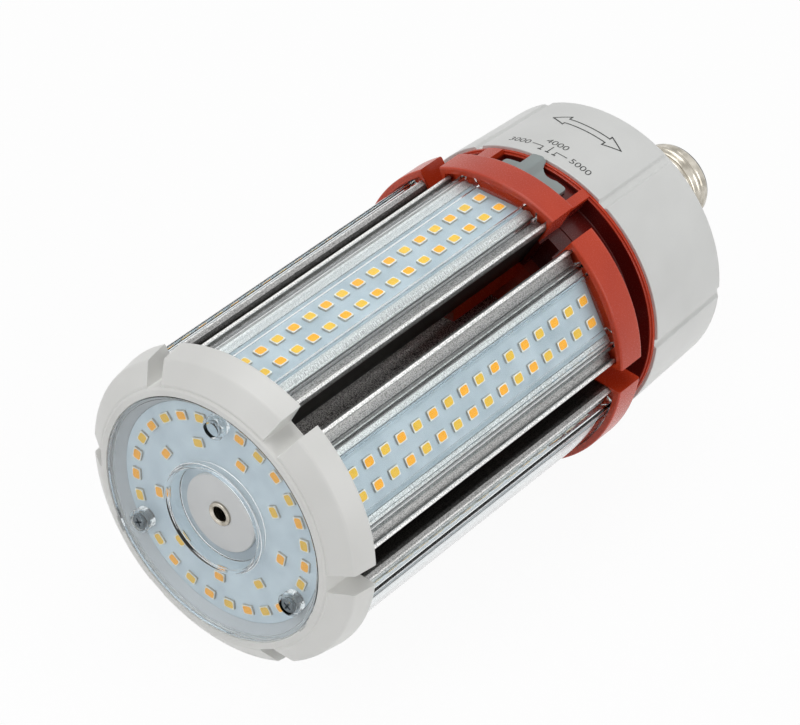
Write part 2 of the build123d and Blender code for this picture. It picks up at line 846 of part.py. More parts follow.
# Neck, welded to the cone, with a spigot that carries the screw shell
shell_inner = shell_radius - shell_root_depth - shell_wall
with BuildPart() as base_neck:
    with BuildSketch(along()):
        Polygon(
            (cone_end, neck_radius - neck_wall),
            (cone_end, neck_radius + 0.7),
            (cone_end + 0.7, neck_radius),
            (shell_start - 0.5, neck_radius),
            (shell_start, neck_radius - 0.5),
            (shell_start, shell_inner - clearance),
            (shell_start + shell_length * 0.7, shell_inner - clearance),
            (shell_start + shell_length * 0.7, shell_inner - neck_wall),
            (shell_start - 2, shell_inner - neck_wall),
            (shell_start - 3, neck_radius - neck_wall),
            align=None,
        )
    revolve(axis=lamp_axis)
base_neck.part.label = "base_neck"
export_step(base_neck.part, "parts/base_neck.step")


# Driver, sealed in the housing: the board bears its parts on the side away from the switch
driver_front = pocket_floor + carrier_wall + 4
driver_rear = shoulder - 4
driver_room = spigot_radius - carrier_wall
driver_board_half = on_circle(driver_room, driver_level) - driver_margin
with BuildPart() as driver_board:
    with BuildSketch(across(driver_front)):
        with Locations((0, driver_level)):
            Rectangle(
                2 * driver_board_half, driver_board_thickness, align=(Align.CENTER, Align.MIN)
            )
    extrude(amount=driver_rear - driver_front)
driver_board.part.label = "driver_board"
export_step(driver_board.part, "parts/driver_board.step")

with BuildPart() as driver_transformer:
    with BuildSketch(across(housing_front + 2)):
        with Locations((core_place, driver_level)):
            Rectangle(core_width, core_height, align=(Align.CENTER, Align.MAX))
        for side in (-1, 1):
            with Locations((core_place + side * core_width * 0.325, driver_level - core_height / 2)):
                Rectangle(core_width / 4, core_height * 0.55, mode=Mode.SUBTRACT)
    extrude(amount=core_length)
    with BuildSketch(across(housing_front + 4)):
        with Locations((core_place, driver_level - core_height / 2)):
            RectangleRounded(core_width - coil_overhang, core_height * 0.72, core_width * 0.15)
    extrude(amount=core_length - 4)
driver_transformer.part.label = "driver_transformer"
export_step(driver_transformer.part, "parts/driver_transformer.step")

small_cap_start = driver_front + 1.0
capacitor_places = (
    (housing_front + 2, filter_cap_place, filter_cap_radius, filter_cap_length),
    (small_cap_start, -small_cap_radius - small_cap_gap, small_cap_radius, small_cap_length),
    (small_cap_start, small_cap_radius + small_cap_gap, small_cap_radius, small_cap_length),
)
with BuildPart() as driver_capacitors:
    for start, place, radius, length in capacitor_places:
        with BuildSketch(across(start)):
            with Locations((place, driver_level - radius)):
                Circle(radius)
        extrude(amount=length)
        with BuildSketch(across(start + length - 2.5)):
            with Locations((place, driver_level - radius)):
                Circle(radius)
                Circle(radius - 0.5, mode=Mode.SUBTRACT)
        extrude(amount=0.8, mode=Mode.SUBTRACT)
driver_capacitors.part.label = "driver_capacitors"
export_step(driver_capacitors.part, "parts/driver_capacitors.step")


# Nickel-plated screw shell with a rolled thread
thread_start = shell_start + (shell_length - thread_turns * thread_pitch) / 2
root_radius = shell_radius - shell_root_depth
shell_profile = [(shell_start, root_radius)]
for turn in range(thread_turns):
    root = thread_start + turn * thread_pitch
    crest = root + thread_pitch / 2
    shell_profile += [
        (root, root_radius),
        (crest - crest_width, shell_radius - 0.25),
        (crest - crest_width / 2, shell_radius),
        (crest + crest_width / 2, shell_radius),
        (crest + crest_width, shell_radius - 0.25),
    ]
shell_profile += [(thread_start + thread_turns * thread_pitch, root_radius), (shell_end, root_radius - 0.2)]
with BuildPart() as screw_shell:
    with BuildSketch(along()):
        Polygon(
            *shell_profile,
            *[(x, radius - shell_wall) for x, radius in reversed(shell_profile)],
            align=None,
        )
    revolve(axis=lamp_axis)
screw_shell.part.label = "screw_shell"
export_step(screw_shell.part, "parts/screw_shell.step")

with BuildPart() as base_insulator:
    with BuildSketch(along()):
        Polygon(
            (shell_start + shell_length * 0.7 + 0.5, 2.0),
            (shell_start + shell_length * 0.7 + 0.5, shell_inner - 0.3),
            (shell_end + slip, shell_inner - 0.3),
            (shell_end + slip, root_radius - 0.4),
            (shell_end + 0.6, root_radius - 0.6),
            (contact_seat - 0.6, insulator_top_radius + 0.8),
            (contact_seat, insulator_top_radius),
            (contact_seat, 2.0),
            align=None,
        )
    revolve(axis=lamp_axis)
base_insulator.part.label = "base_insulator"
export_step(base_insulator.part, "parts/base_insulator.step")

with BuildPart() as centre_contact:
    with BuildSketch(along()):
        Polygon(
            (contact_seat - 5, 0),
            (contact_seat - 5, 1.9),
            (contact_seat + 0.02, 1.9),
            (contact_seat + 0.02, contact_radius),
            (contact_seat + 0.6, contact_radius),
            (contact_seat + 1.2, contact_radius - 1.2),
            (contact_tip - 0.8, 2.6),
            (contact_tip - 0.2, 1.6),
            (contact_tip, 0),
            align=None,
        )
    revolve(axis=lamp_axis)
centre_contact.part.label = "centre_contact"
export_step(centre_contact.part, "parts/centre_contact.step")
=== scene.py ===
"""Six-sided LED replacement lamp on an E26 screw base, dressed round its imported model."""

from __future__ import annotations

import json
import logging
import math
from dataclasses import dataclass
from enum import Enum
from typing import Any, Sequence

import bmesh
import bpy
from mathutils import Matrix, Vector

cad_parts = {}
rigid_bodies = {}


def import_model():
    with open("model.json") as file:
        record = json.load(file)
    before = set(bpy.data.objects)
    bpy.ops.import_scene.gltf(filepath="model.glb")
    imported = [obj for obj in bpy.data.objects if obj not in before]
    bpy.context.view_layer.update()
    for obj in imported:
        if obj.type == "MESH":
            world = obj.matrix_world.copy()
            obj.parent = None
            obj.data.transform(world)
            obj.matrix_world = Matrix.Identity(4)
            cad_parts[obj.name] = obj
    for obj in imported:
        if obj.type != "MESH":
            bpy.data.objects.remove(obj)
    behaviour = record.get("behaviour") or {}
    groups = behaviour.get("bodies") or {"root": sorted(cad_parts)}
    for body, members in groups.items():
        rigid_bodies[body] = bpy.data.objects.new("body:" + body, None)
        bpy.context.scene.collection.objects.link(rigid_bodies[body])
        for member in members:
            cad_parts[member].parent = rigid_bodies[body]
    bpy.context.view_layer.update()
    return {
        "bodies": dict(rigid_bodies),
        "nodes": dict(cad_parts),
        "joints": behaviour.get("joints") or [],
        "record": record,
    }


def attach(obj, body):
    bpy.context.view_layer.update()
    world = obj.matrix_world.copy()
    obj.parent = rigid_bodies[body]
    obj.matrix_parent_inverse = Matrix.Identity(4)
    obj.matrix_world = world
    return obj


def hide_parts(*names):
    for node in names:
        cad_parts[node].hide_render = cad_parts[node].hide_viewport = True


LOG = logging.getLogger("lamp")
MM = 0.001
ROUND = 288
Point = tuple[float, float]


class Body(Enum):
    """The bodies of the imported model."""

    LAMP = "lamp"
    SLIDER = "slider"


class Slot(Enum):
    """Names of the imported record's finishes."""

    WHITE = "white_plastic"
    CLEAR = "clear_plastic"
    WARM = "led_warm"
    COOL = "led_cool"
    SCREW = "screw_steel"
    HUB = "hub_plastic"
    NICKEL = "nickel"
    ALUMINIUM = "aluminium"
    RED = "red_plastic"
    GREY = "grey_plastic"
    DARK = "dark_plastic"
    BRASS = "brass"


@dataclass(frozen=True)
class Stations:
    """Places along the lamp axis and radii round it that several pieces share, in millimetres."""

    sides: int = 6
    side_turn: float = 60.0
    axis_height: float = 46.0
    lamp_radius: float = 46.0
    duct_hole: float = 8.05
    switch_angle: float = -0.8
    switch_setback: float = 2.0
    switch_half: float = 2.6
    boss_circle: float = 29.8
    ring_face: float = -107.5
    cap_rear: float = -95.7
    partition_rear: float = -99.7
    board_front: float = -102.5
    hood_front: float = 10.6
    hood_rear: float = 20.1
    flange_front: float = 28.7
    housing_front: float = 31.3
    shoulder: float = 63.3
    shell_start: float = 78.3
    shell_end: float = 100.8
    panel_front: float = -99.55
    panel_rear: float = 12.0
    pocket_floor: float = 13.2

    def sides_at(self, shift: float = 0.0) -> list[float]:
        """Angles of the six sides, shifted by so many degrees."""
        return [self.side_turn * k + shift for k in range(self.sides)]

    def nodes(self, stem: str) -> list[str]:
        """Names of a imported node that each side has."""
        return [f"{stem}_{k}" for k in range(1, self.sides + 1)]


AT = Stations()


# Shapes


def spot(x: float, across: float, out: float, angle: float = 0.0) -> Vector:
    """Turn a place given for one side of the lamp into the model's frame.

    Args:
        x: Place along the lamp axis, in millimetres.
        across: Distance from the side's middle.
        out: Distance out from the lamp axis.
        angle: The side's angle from straight up, in degrees.

    Returns:
        The same place in metres.
    """
    turn = math.radians(angle)
    y = across * math.cos(turn) - out * math.sin(turn)
    z = AT.axis_height + across * math.sin(turn) + out * math.cos(turn)
    return Vector((x, y, z)) * MM


def linked(name: str, mesh: bpy.types.Mesh) -> bpy.types.Object:
    """Put a mesh in the scene as an object of that name."""
    item = bpy.data.objects.new(name, mesh)
    bpy.context.scene.collection.objects.link(item)
    return item


def built(name: str, points: Sequence[Vector], faces: Sequence[Sequence[int]]) -> bpy.types.Object:
    """Make a closed piece from points and faces.

    Args:
        name: Name of the piece.
        points: Its points, in metres.
        faces: Its faces, as indices of points.

    Returns:
        The piece, with doubles merged and faces outwards.
    """
    mesh = bpy.data.meshes.new(name)
    mesh.from_pydata([tuple(p) for p in points], [], [tuple(f) for f in faces])
    work = bmesh.new()
    work.from_mesh(mesh)
    bmesh.ops.remove_doubles(work, verts=work.verts, dist=1e-7)
    bmesh.ops.recalc_face_normals(work, faces=work.faces)
    work.to_mesh(mesh)
    work.free()
    return linked(name, mesh)


def rounded(corners: Sequence[Sequence[float]], steps: int = 4) -> list[Point]:
    """Round the corners of a closed outline.

    Args:
        corners: Points of the outline, each with its rounding as a third number, or none.
        steps: Spans in each rounding.

    Returns:
        The outline's points.
    """
    outline: list[Point] = []
    for k, corner in enumerate(corners):
        here = Vector(corner[:2])
        radius = corner[2] if len(corner) > 2 else 0.0
        before = Vector(corners[k - 1][:2]) - here
        after = Vector(corners[(k + 1) % len(corners)][:2]) - here
        if radius <= 0 or before.length < 1e-9 or after.length < 1e-9:
            outline.append((here.x, here.y))
            continue
        half = before.angle(after) / 2
        reach = min(radius / max(math.tan(half), 1e-6), 0.45 * before.length, 0.45 * after.length)
        first = here + before.normalized() * reach
        last = here + after.normalized() * reach
        for step in range(steps + 1):
            u = step / steps
            point = first * (1 - u) ** 2 + here * (2 * u * (1 - u)) + last * u**2
            outline.append((point.x, point.y))
    return outline


def mirrored(points: Sequence[Sequence[float]]) -> list[tuple[float, ...]]:
    """Close an outline's right half with its mirror image."""
    return [tuple(p) for p in points] + [(-p[0], *p[1:]) for p in reversed(points)]


def arc(radius: float, start: float, end: float, steps: int) -> list[Point]:
    """Points of a circle about the lamp axis, across and out, between two angles in degrees."""
    spans = [math.radians(start + (end - start) * k / steps) for k in range(steps + 1)]
    return [(-radius * math.sin(t), radius * math.cos(t)) for t in spans]


def bar(half: float, low: float, high: float, corner: float = 0.0) -> list[Point]:
    """Section of a bar across a side's middle, between two distances out, with its corners rounded."""
    outline = [(-half, low), (half, low), (half, high), (-half, high)]
    return rounded([(*point, corner) for point in outline]) if corner else outline


def pocket() -> list[Point]:
    """Section of the pocket that takes the end of one side, wide enough for its cover and extrusion."""
    return [*arc(44.15, -23.4, 23.4, 24), (-17.55, 37.9), (-9.75, 23.35), (9.75, 23.35), (17.55, 37.9)]


def tube_faces(rings: int, count: int) -> list[list[int]]:
    """Faces of a closed tube of some rings of points, with a flat cap at each end."""
    faces = []
    for base in range(0, (rings - 1) * count, count):
        faces += [
            [base + k, base + (k + 1) % count, base + count + (k + 1) % count, base + count + k]
            for k in range(count)
        ]
    last = (rings - 1) * count
    return [*faces, list(range(count))[::-1], list(range(last, last + count))]


def wheel_faces(segments: int, count: int) -> list[list[int]]:
    """Faces of a closed profile of some points that goes once round the axis."""
    faces = []
    for step in range(segments):
        here, there = step * count, ((step + 1) % segments) * count
        for k in range(count):
            far = (k + 1) % count
            faces.append([here + k, here + far, there + far, there + k])
    return faces


def prism(
    name: str, outline: Sequence[Point], start: float, end: float, angle: float = 0.0
) -> bpy.types.Object:
    """Draw an outline along the lamp axis.

    Args:
        name: Name of the piece.
        outline: Its section, across and out, in millimetres.
        start: Where it begins along the axis.
        end: Where it ends.
        angle: Angle of the side it belongs to.

    Returns:
        The piece.
    """
    points = [spot(x, across, out, angle) for x in (start, end) for across, out in outline]
    return built(name, points, tube_faces(2, len(outline)))


def lathe(
    name: str, profile: Sequence[Point], segments: int = ROUND, centre: Point = (0.0, 0.0),
    angle: float = 0.0,
) -> bpy.types.Object:
    """Turn a closed profile round an axis along X.

    Args:
        name: Name of the piece.
        profile: Points as place along the axis and radius, in millimetres.
        segments: Steps round the axis.
        centre: Where the axis lies, across and out from the lamp axis.
        angle: Angle of the side that the centre is given for.

    Returns:
        The piece.
    """
    points: list[Vector] = []
    for step in range(segments):
        turn = 2 * math.pi * step / segments
        for x, radius in profile:
            across, out = centre[0] + radius * math.sin(turn), centre[1] + radius * math.cos(turn)
            points.append(spot(x, across, out, angle))
    return built(name, points, wheel_faces(segments, len(profile)))


def baked(item: bpy.types.Object) -> bpy.types.Object:
    """Replace an object's mesh by what its modifiers make of it, and drop the modifiers."""
    graph = bpy.context.evaluated_depsgraph_get()
    graph.update()
    mesh = bpy.data.meshes.new_from_object(item.evaluated_get(graph))
    mesh.name = item.name
    item.modifiers.clear()
    item.data = mesh
    return item


class Cut(Enum):
    """Ways to combine two solids."""

    OFF = "DIFFERENCE"
    ON = "UNION"
    WITH = "INTERSECT"


def combined(item: bpy.types.Object, tools: Sequence[bpy.types.Object], how: Cut) -> bpy.types.Object:
    """Cut solids off a piece, or join them on.

    Args:
        item: The piece.
        tools: The solids, which are used up.
        how: Whether they come off or on.

    Returns:
        The piece.
    """
    for tool in tools:
        change = item.modifiers.new("Combine", "BOOLEAN")
        change.operation = how.value
        change.solver = "EXACT"
        change.object = tool
        baked(item)
        bpy.data.objects.remove(tool)
    return item


def joined(name: str, items: Sequence[bpy.types.Object]) -> bpy.types.Object:
    """Gather several closed shells in one piece.

    Args:
        name: Name of the piece.
        items: The shells, which are used up.

    Returns:
        The piece.
    """
    work = bmesh.new()
    for item in items:
        work.from_mesh(item.data)
        bpy.data.objects.remove(item)
    mesh = bpy.data.meshes.new(name)
    work.to_mesh(mesh)
    work.free()
    return linked(name, mesh)


def softened(
    item: bpy.types.Object, width: float, segments: int = 2, limit: float = 32.0
) -> bpy.types.Object:
    """Round the sharp edges of a moulded piece.

    Args:
        item: The piece.
        width: Width of the rounding, in millimetres.
        segments: Spans in it.
        limit: Sharpest angle, in degrees, that stays as it is.

    Returns:
        The piece.
    """
    work = bmesh.new()
    work.from_mesh(item.data)
    bmesh.ops.remove_doubles(work, verts=work.verts, dist=2e-6)
    work.to_mesh(item.data)
    work.free()
    change = item.modifiers.new("Round", "BEVEL")
    change.width = width * MM
    change.segments = segments
    change.limit_method = "ANGLE"
    change.angle_limit = math.radians(limit)
    change.miter_outer = "MITER_ARC"
    change.use_clamp_overlap = True
    return baked(item)


def smoothed(item: bpy.types.Object, angle: float = 35.0) -> bpy.types.Object:
    """Shade a piece smooth up to an angle in degrees, with flat faces kept flat."""
    item.data.shade_smooth()
    item.data.set_sharp_from_angle(angle=math.radians(angle))
    change = item.modifiers.new("Flats", "WEIGHTED_NORMAL")
    change.keep_sharp = True
    return baked(item)


# Finishes


def add_node(
    tree: bpy.types.NodeTree, kind: str, inputs: dict[Any, Any] | None = None, **settings: Any
) -> Any:
    """Add one node to a tree.

    Args:
        tree: The tree.
        kind: The node's type.
        inputs: Its inputs by name or number, each a value or the socket that feeds it.
        **settings: Its properties.

    Returns:
        The node.
    """
    node = tree.nodes.new(kind)
    for key, value in settings.items():
        setattr(node, key, value)
    for key, value in (inputs or {}).items():
        if isinstance(value, bpy.types.NodeSocket):
            tree.links.new(value, node.inputs[key])
        else:
            node.inputs[key].default_value = value
    return node


def linear(code: str) -> tuple[float, float, float, float]:
    """Turn an sRGB hex colour into linear red, green, blue and alpha."""
    parts = [int(code[k : k + 2], 16) / 255 for k in (1, 3, 5)]
    flat = [c / 12.92 if c <= 0.04045 else ((c + 0.055) / 1.055) ** 2.4 for c in parts]
    return (flat[0], flat[1], flat[2], 1.0)


class Finish:
    """A material that is made once and then shared."""

    made: dict[str, bpy.types.Material] = {}

    def material(self) -> bpy.types.Material:
        """The finish as a Blender material."""
        name = f"{type(self).__name__}{getattr(self, 'name', '')}"
        if name not in Finish.made:
            material = bpy.data.materials.new(name)
            material.use_nodes = True
            material.node_tree.nodes.clear()
            surface = self.surface(material.node_tree)
            add_node(material.node_tree, "ShaderNodeOutputMaterial", {"Surface": surface})
            Finish.made[name] = material
        return Finish.made[name]

    def surface(self, tree: bpy.types.NodeTree) -> bpy.types.NodeSocket:
        """Build the nodes and give the socket that feeds the surface."""
        raise NotImplementedError


def places(
    tree: bpy.types.NodeTree, stretch: tuple[float, float, float] = (1, 1, 1)
) -> bpy.types.NodeSocket:
    """Object coordinates, stretched by a factor along each axis."""
    coords = add_node(tree, "ShaderNodeTexCoord")
    mapping = add_node(tree, "ShaderNodeMapping", {"Vector": coords.outputs["Object"], "Scale": stretch})
    return mapping.outputs["Vector"]


def grain(
    tree: bpy.types.NodeTree, size: float, detail: float = 2.0,
    stretch: tuple[float, float, float] = (1, 1, 1),
) -> bpy.types.NodeSocket:
    """Noise whose grains are about a size in millimetres.

    Args:
        tree: Tree to build in.
        size: Size of a grain, in millimetres.
        detail: Finer octaves.
        stretch: Factor on the coordinates along each axis.

    Returns:
        The noise's value.
    """
    noise = add_node(
        tree, "ShaderNodeTexNoise",
        {"Vector": places(tree, stretch), "Scale": 1 / (size * MM), "Detail": detail, "Roughness": 0.55},
    )
    return noise.outputs["Fac"]


def spread(
    tree: bpy.types.NodeTree, value: bpy.types.NodeSocket, low: float, high: float
) -> bpy.types.NodeSocket:
    """Map a noise's usual range, 0.3 to 0.7, to the range from low to high."""
    node = add_node(
        tree, "ShaderNodeMapRange",
        {"Value": value, "From Min": 0.3, "From Max": 0.7, "To Min": low, "To Max": high},
    )
    return node.outputs["Result"]


def tinted(
    tree: bpy.types.NodeTree, value: bpy.types.NodeSocket, dark: str, light: str
) -> bpy.types.NodeSocket:
    """A colour between two hex values, by a noise."""
    return blended(tree, spread(tree, value, 0.0, 1.0), linear(dark), linear(light))


def bumped(tree: bpy.types.NodeTree, height: bpy.types.NodeSocket, depth: float) -> bpy.types.NodeSocket:
    """A normal from a height between 0 and 1 that stands for a depth in millimetres."""
    node = add_node(tree, "ShaderNodeBump", {"Height": height, "Distance": depth * MM, "Strength": 1.0})
    return node.outputs["Normal"]


def shaded(tree: bpy.types.NodeTree, inputs: dict[str, Any]) -> bpy.types.NodeSocket:
    """The main shader's surface, from its inputs by name."""
    return add_node(tree, "ShaderNodeBsdfPrincipled", inputs).outputs["BSDF"]


def square_off(tree: bpy.types.NodeTree) -> bpy.types.NodeSocket:
    """A point's place from the lamp axis, square to it."""
    coords = add_node(tree, "ShaderNodeTexCoord")
    centred = add_node(
        tree, "ShaderNodeMapping",
        {
            "Vector": coords.outputs["Object"], "Location": (0.0, 0.0, -AT.axis_height * MM),
            "Scale": (0.0, 1.0, 1.0),
        },
    )
    return centred.outputs[0]


def off_axis(tree: bpy.types.NodeTree) -> bpy.types.NodeSocket:
    """Distance of a point from the lamp axis."""
    length = add_node(tree, "ShaderNodeVectorMath", {0: square_off(tree)}, operation="LENGTH")
    return length.outputs["Value"]


def eased(
    tree: bpy.types.NodeTree, value: bpy.types.NodeSocket, start: float, end: float, low: float = 0.0
) -> bpy.types.NodeSocket:
    """Ease from low to its opposite between two places.

    Args:
        tree: Tree to build in.
        value: A distance in metres.
        start: Where the change starts, in millimetres.
        end: Where it ends.
        low: The share before it, 0 or 1.

    Returns:
        The share.
    """
    node = add_node(
        tree, "ShaderNodeMapRange",
        {"Value": value, "From Min": start * MM, "From Max": end * MM, "To Min": low, "To Max": 1.0 - low},
        interpolation_type="SMOOTHSTEP",
    )
    return node.outputs["Result"]


def blended(
    tree: bpy.types.NodeTree, share: bpy.types.NodeSocket, first: Any, second: Any
) -> bpy.types.NodeSocket:
    """Mix two colours by a share, the first at 0 and the second at 1."""
    return add_node(tree, "ShaderNodeMix", {0: share, 6: first, 7: second}, data_type="RGBA").outputs[2]


@dataclass(frozen=True)
class MouldedPlastic(Finish):
    """Injection-moulded polycarbonate: the tool's spark-eroded skin leaves a satin grain.

    Where a recess colour is given, it is painted shade: the hollow behind a radius and a station along the
    axis is painted in that darker tone, for a wall that gets little light, save in the ring outside the
    throat.
    """

    name: str
    dark: str
    light: str
    rough: float = 0.42
    grit: float = 0.28
    depth: float = 0.006
    glow: float = 0.0
    gloss: float = 0.5
    flow_size: float = 22.0
    # The recess colour is painted shade for the hollow that the fields below mark out.
    recess: str = ""
    rim_radius: float = 41.5
    shade_start: float = 20.7
    throat_radii: tuple[float, float] = (25.0, 36.5)

    def surface(self, tree: bpy.types.NodeTree) -> bpy.types.NodeSocket:
        """Build a satin plastic with faint flow shades and a fine grain."""
        flow = grain(tree, self.flow_size, 2.0)
        fine = grain(tree, self.grit, 2.0)
        colour = tinted(tree, flow, self.dark, self.light)
        # Blend in the painted shade where the mask falls to 0.
        if self.recess:
            colour = blended(tree, self.painted_shade_mask(tree), linear(self.recess), colour)
        return shaded(tree, {
            "Base Color": colour,
            "Roughness": spread(tree, fine, self.rough - 0.05, self.rough + 0.05),
            "IOR": 1.58,
            "Specular IOR Level": self.gloss,
            "Normal": bumped(tree, fine, self.depth),
            "Subsurface Weight": self.glow,
            "Subsurface Radius": (1.0, 1.0, 1.0),
            "Subsurface Scale": 0.0012,
        })

    def painted_shade_mask(self, tree: bpy.types.NodeTree) -> bpy.types.NodeSocket:
        """Mask for the painted shade: the open faces at 1, the hollow inside the rim and its throat,
        painted dark, at 0.
        """
        coords = add_node(tree, "ShaderNodeTexCoord")
        along = add_node(tree, "ShaderNodeSeparateXYZ", {0: coords.outputs["Object"]}).outputs["X"]
        out = off_axis(tree)

        def change(value: bpy.types.NodeSocket, place: float, low: float = 0.0) -> bpy.types.NodeSocket:
            """Change from low to its opposite over 1 mm round a place."""
            return eased(tree, value, place - 0.5, place + 0.5, low)

        def either(
            one: bpy.types.NodeSocket, two: bpy.types.NodeSocket, operation: str
        ) -> bpy.types.NodeSocket:
            """Take the larger or the smaller of two shares."""
            return add_node(tree, "ShaderNodeMath", {0: one, 1: two}, operation=operation).outputs[0]

        inner, outer = self.throat_radii
        beside = either(change(out, inner, 1.0), change(out, outer), "MAXIMUM")
        ahead = either(change(along, self.shade_start, 1.0), beside, "MINIMUM")
        return either(change(out, self.rim_radius), ahead, "MAXIMUM")


@dataclass(frozen=True)
class ClearPolycarbonate(Finish):
    """Clear moulded or extruded polycarbonate: nearly colourless, glossy, with faint drawing lines."""

    name: str
    tint: str = "#F4F7F8"
    rough: float = 0.04
    ripple: float = 0.004
    index: float = 1.5

    def surface(self, tree: bpy.types.NodeTree) -> bpy.types.NodeSocket:
        """Build a clear shader that lets shadow rays through."""
        lines = grain(tree, 1.6, 1.0, (0.04, 1, 1))
        shader = shaded(tree, {
            "Base Color": linear(self.tint), "Roughness": self.rough, "IOR": self.index,
            "Transmission Weight": 1.0, "Normal": bumped(tree, lines, self.ripple),
        })
        clear = add_node(tree, "ShaderNodeBsdfTransparent", {"Color": linear("#EFF3F4")})
        path = add_node(tree, "ShaderNodeLightPath")
        mix = add_node(
            tree, "ShaderNodeMixShader",
            {0: path.outputs["Is Shadow Ray"], 1: shader, 2: clear.outputs["BSDF"]},
        )
        return mix.outputs["Shader"]


@dataclass(frozen=True)
class BlastedAluminium(Finish):
    """Extruded aluminium, blasted and clear anodised: a fine sparkling grit over the die's long lines.

    The outer lips are painted bright as a painted highlight, the flanges below them stay mid grey, and the
    walls deep between the sides are painted dark as painted shade.
    """

    name: str = ""
    # The deep colours are painted shade and the lip colours a painted highlight.
    deep: tuple[str, str] = ("#31302E", "#5E5B58")
    middle: tuple[str, str] = ("#757574", "#B7B7B6")
    lip: tuple[str, str] = ("#A9A9A8", "#F6F6F4")
    shade_rise: tuple[float, float] = (36.6, 37.5)
    highlight_rise: tuple[float, float] = (38.9, 39.4)
    grit_size: float = 0.25
    grit_share: float = 0.82
    grit_depth: float = 0.03
    line_width: float = 0.42
    line_draw: float = 0.008
    rough: float = 0.43

    def surface(self, tree: bpy.types.NodeTree) -> bpy.types.NodeSocket:
        """Build a metal with grit of about 0.25 mm, drawn coarse enough to show, and long die lines."""
        grit = grain(tree, self.grit_size, 3.0, (0.7, 1, 1))
        lines = grain(tree, self.line_width, 2.0, (self.line_draw, 1, 1))
        both = add_node(
            tree, "ShaderNodeMix",
            {0: self.grit_share, 2: spread(tree, lines, 0, 1), 3: spread(tree, grit, 0, 1)},
            data_type="FLOAT",
        ).outputs[0]
        # Painted shade deep between the sides and a painted highlight on the outer lips, set by the height
        # from the axis.
        height = self.height(tree)
        skin = tinted(tree, both, *self.deep)
        for rise, colours in ((self.shade_rise, self.middle), (self.highlight_rise, self.lip)):
            skin = blended(tree, eased(tree, height, *rise), skin, tinted(tree, both, *colours))
        return shaded(tree, {
            "Base Color": skin,
            "Metallic": 1.0,
            "Roughness": spread(tree, grit, self.rough - 0.06, self.rough + 0.08),
            "Normal": bumped(tree, both, self.grit_depth),
        })

    def height(self, tree: bpy.types.NodeTree) -> bpy.types.NodeSocket:
        """Measure how far a point lies out from the lamp axis, square to its own side's board."""
        parts = add_node(tree, "ShaderNodeSeparateXYZ", {0: square_off(tree)})
        share = math.radians(AT.side_turn)
        steps = (
            ("ARCTAN2", parts.outputs["Z"]), ("ADD", share / 2), ("FLOORED_MODULO", share),
            ("SUBTRACT", share / 2), ("COSINE", None), ("MULTIPLY", off_axis(tree)),
        )
        value = parts.outputs["Y"]
        for operation, other in steps:
            inputs = {0: value} if other is None else {0: value, 1: other}
            value = add_node(tree, "ShaderNodeMath", inputs, operation=operation).outputs[0]
        return value


@dataclass(frozen=True)
class PlatedMetal(Finish):
    """Nickel or tin plate over pressed metal: bright, warm grey, with fine wear marks round the axis."""

    name: str
    dark: str = "#9A9488"
    light: str = "#D8D2C6"
    rough: float = 0.2
    stretch: tuple[float, float, float] = (1, 0.08, 0.08)

    def surface(self, tree: bpy.types.NodeTree) -> bpy.types.NodeSocket:
        """Build a bright plate with cloudy tone and fine scratches."""
        cloud = grain(tree, 4.0, 3.0)
        wear = grain(tree, 0.15, 2.0, self.stretch)
        return shaded(tree, {
            "Base Color": tinted(tree, cloud, self.dark, self.light),
            "Metallic": 1.0,
            "Roughness": spread(tree, wear, self.rough - 0.05, self.rough + 0.08),
            "Normal": bumped(tree, wear, 0.006),
        })


@dataclass(frozen=True)
class BoardLacquer(Finish):
    """White solder lacquer on an aluminium board: pale blue-grey, half glossy, like orange peel."""

    name: str = ""
    dark: str = "#9CAAB2"
    light: str = "#B1BDC4"

    def surface(self, tree: bpy.types.NodeTree) -> bpy.types.NodeSocket:
        """Build the lacquer with a cloudy tone and a shallow peel."""
        cloud = grain(tree, 9.0, 2.0)
        peel = grain(tree, 0.5, 1.0)
        return shaded(tree, {
            "Base Color": tinted(tree, cloud, self.dark, self.light),
            "Roughness": spread(tree, peel, 0.3, 0.42),
            "Metallic": 0.15,
            "Normal": bumped(tree, peel, 0.006),
        })


@dataclass(frozen=True)
class PhosphorGel(Finish):
    """Silicone filled with phosphor powder: saturated, softly translucent and slightly grainy."""

    name: str
    dark: str
    light: str

    def surface(self, tree: bpy.types.NodeTree) -> bpy.types.NodeSocket:
        """Build the gel with powder of about 0.2 mm, drawn coarse enough to show."""
        powder = grain(tree, 0.22, 2.0)
        return shaded(tree, {
            "Base Color": tinted(tree, powder, self.dark, self.light),
            "Roughness": spread(tree, powder, 0.28, 0.4),
            "IOR": 1.41,
            "Specular IOR Level": 0.25,
            "Subsurface Weight": 0.08,
            "Subsurface Radius": (0.8, 0.5, 0.1),
            "Subsurface Scale": 0.0004,
            "Normal": bumped(tree, powder, 0.01),
        })


@dataclass(frozen=True)
class PrintInk(Finish):
    """Pad-printed ink: dark grey and matt, thin enough that the moulded grain shows through."""

    dark: str = "#343635"
    light: str = "#4A4C4B"

    def surface(self, tree: bpy.types.NodeTree) -> bpy.types.NodeSocket:
        """Build a matt ink of uneven density."""
        patch = grain(tree, 0.35, 2.0)
        return shaded(tree, {
            "Base Color": tinted(tree, patch, self.dark, self.light),
            "Roughness": 0.7,
            "Normal": bumped(tree, patch, 0.004),
        })
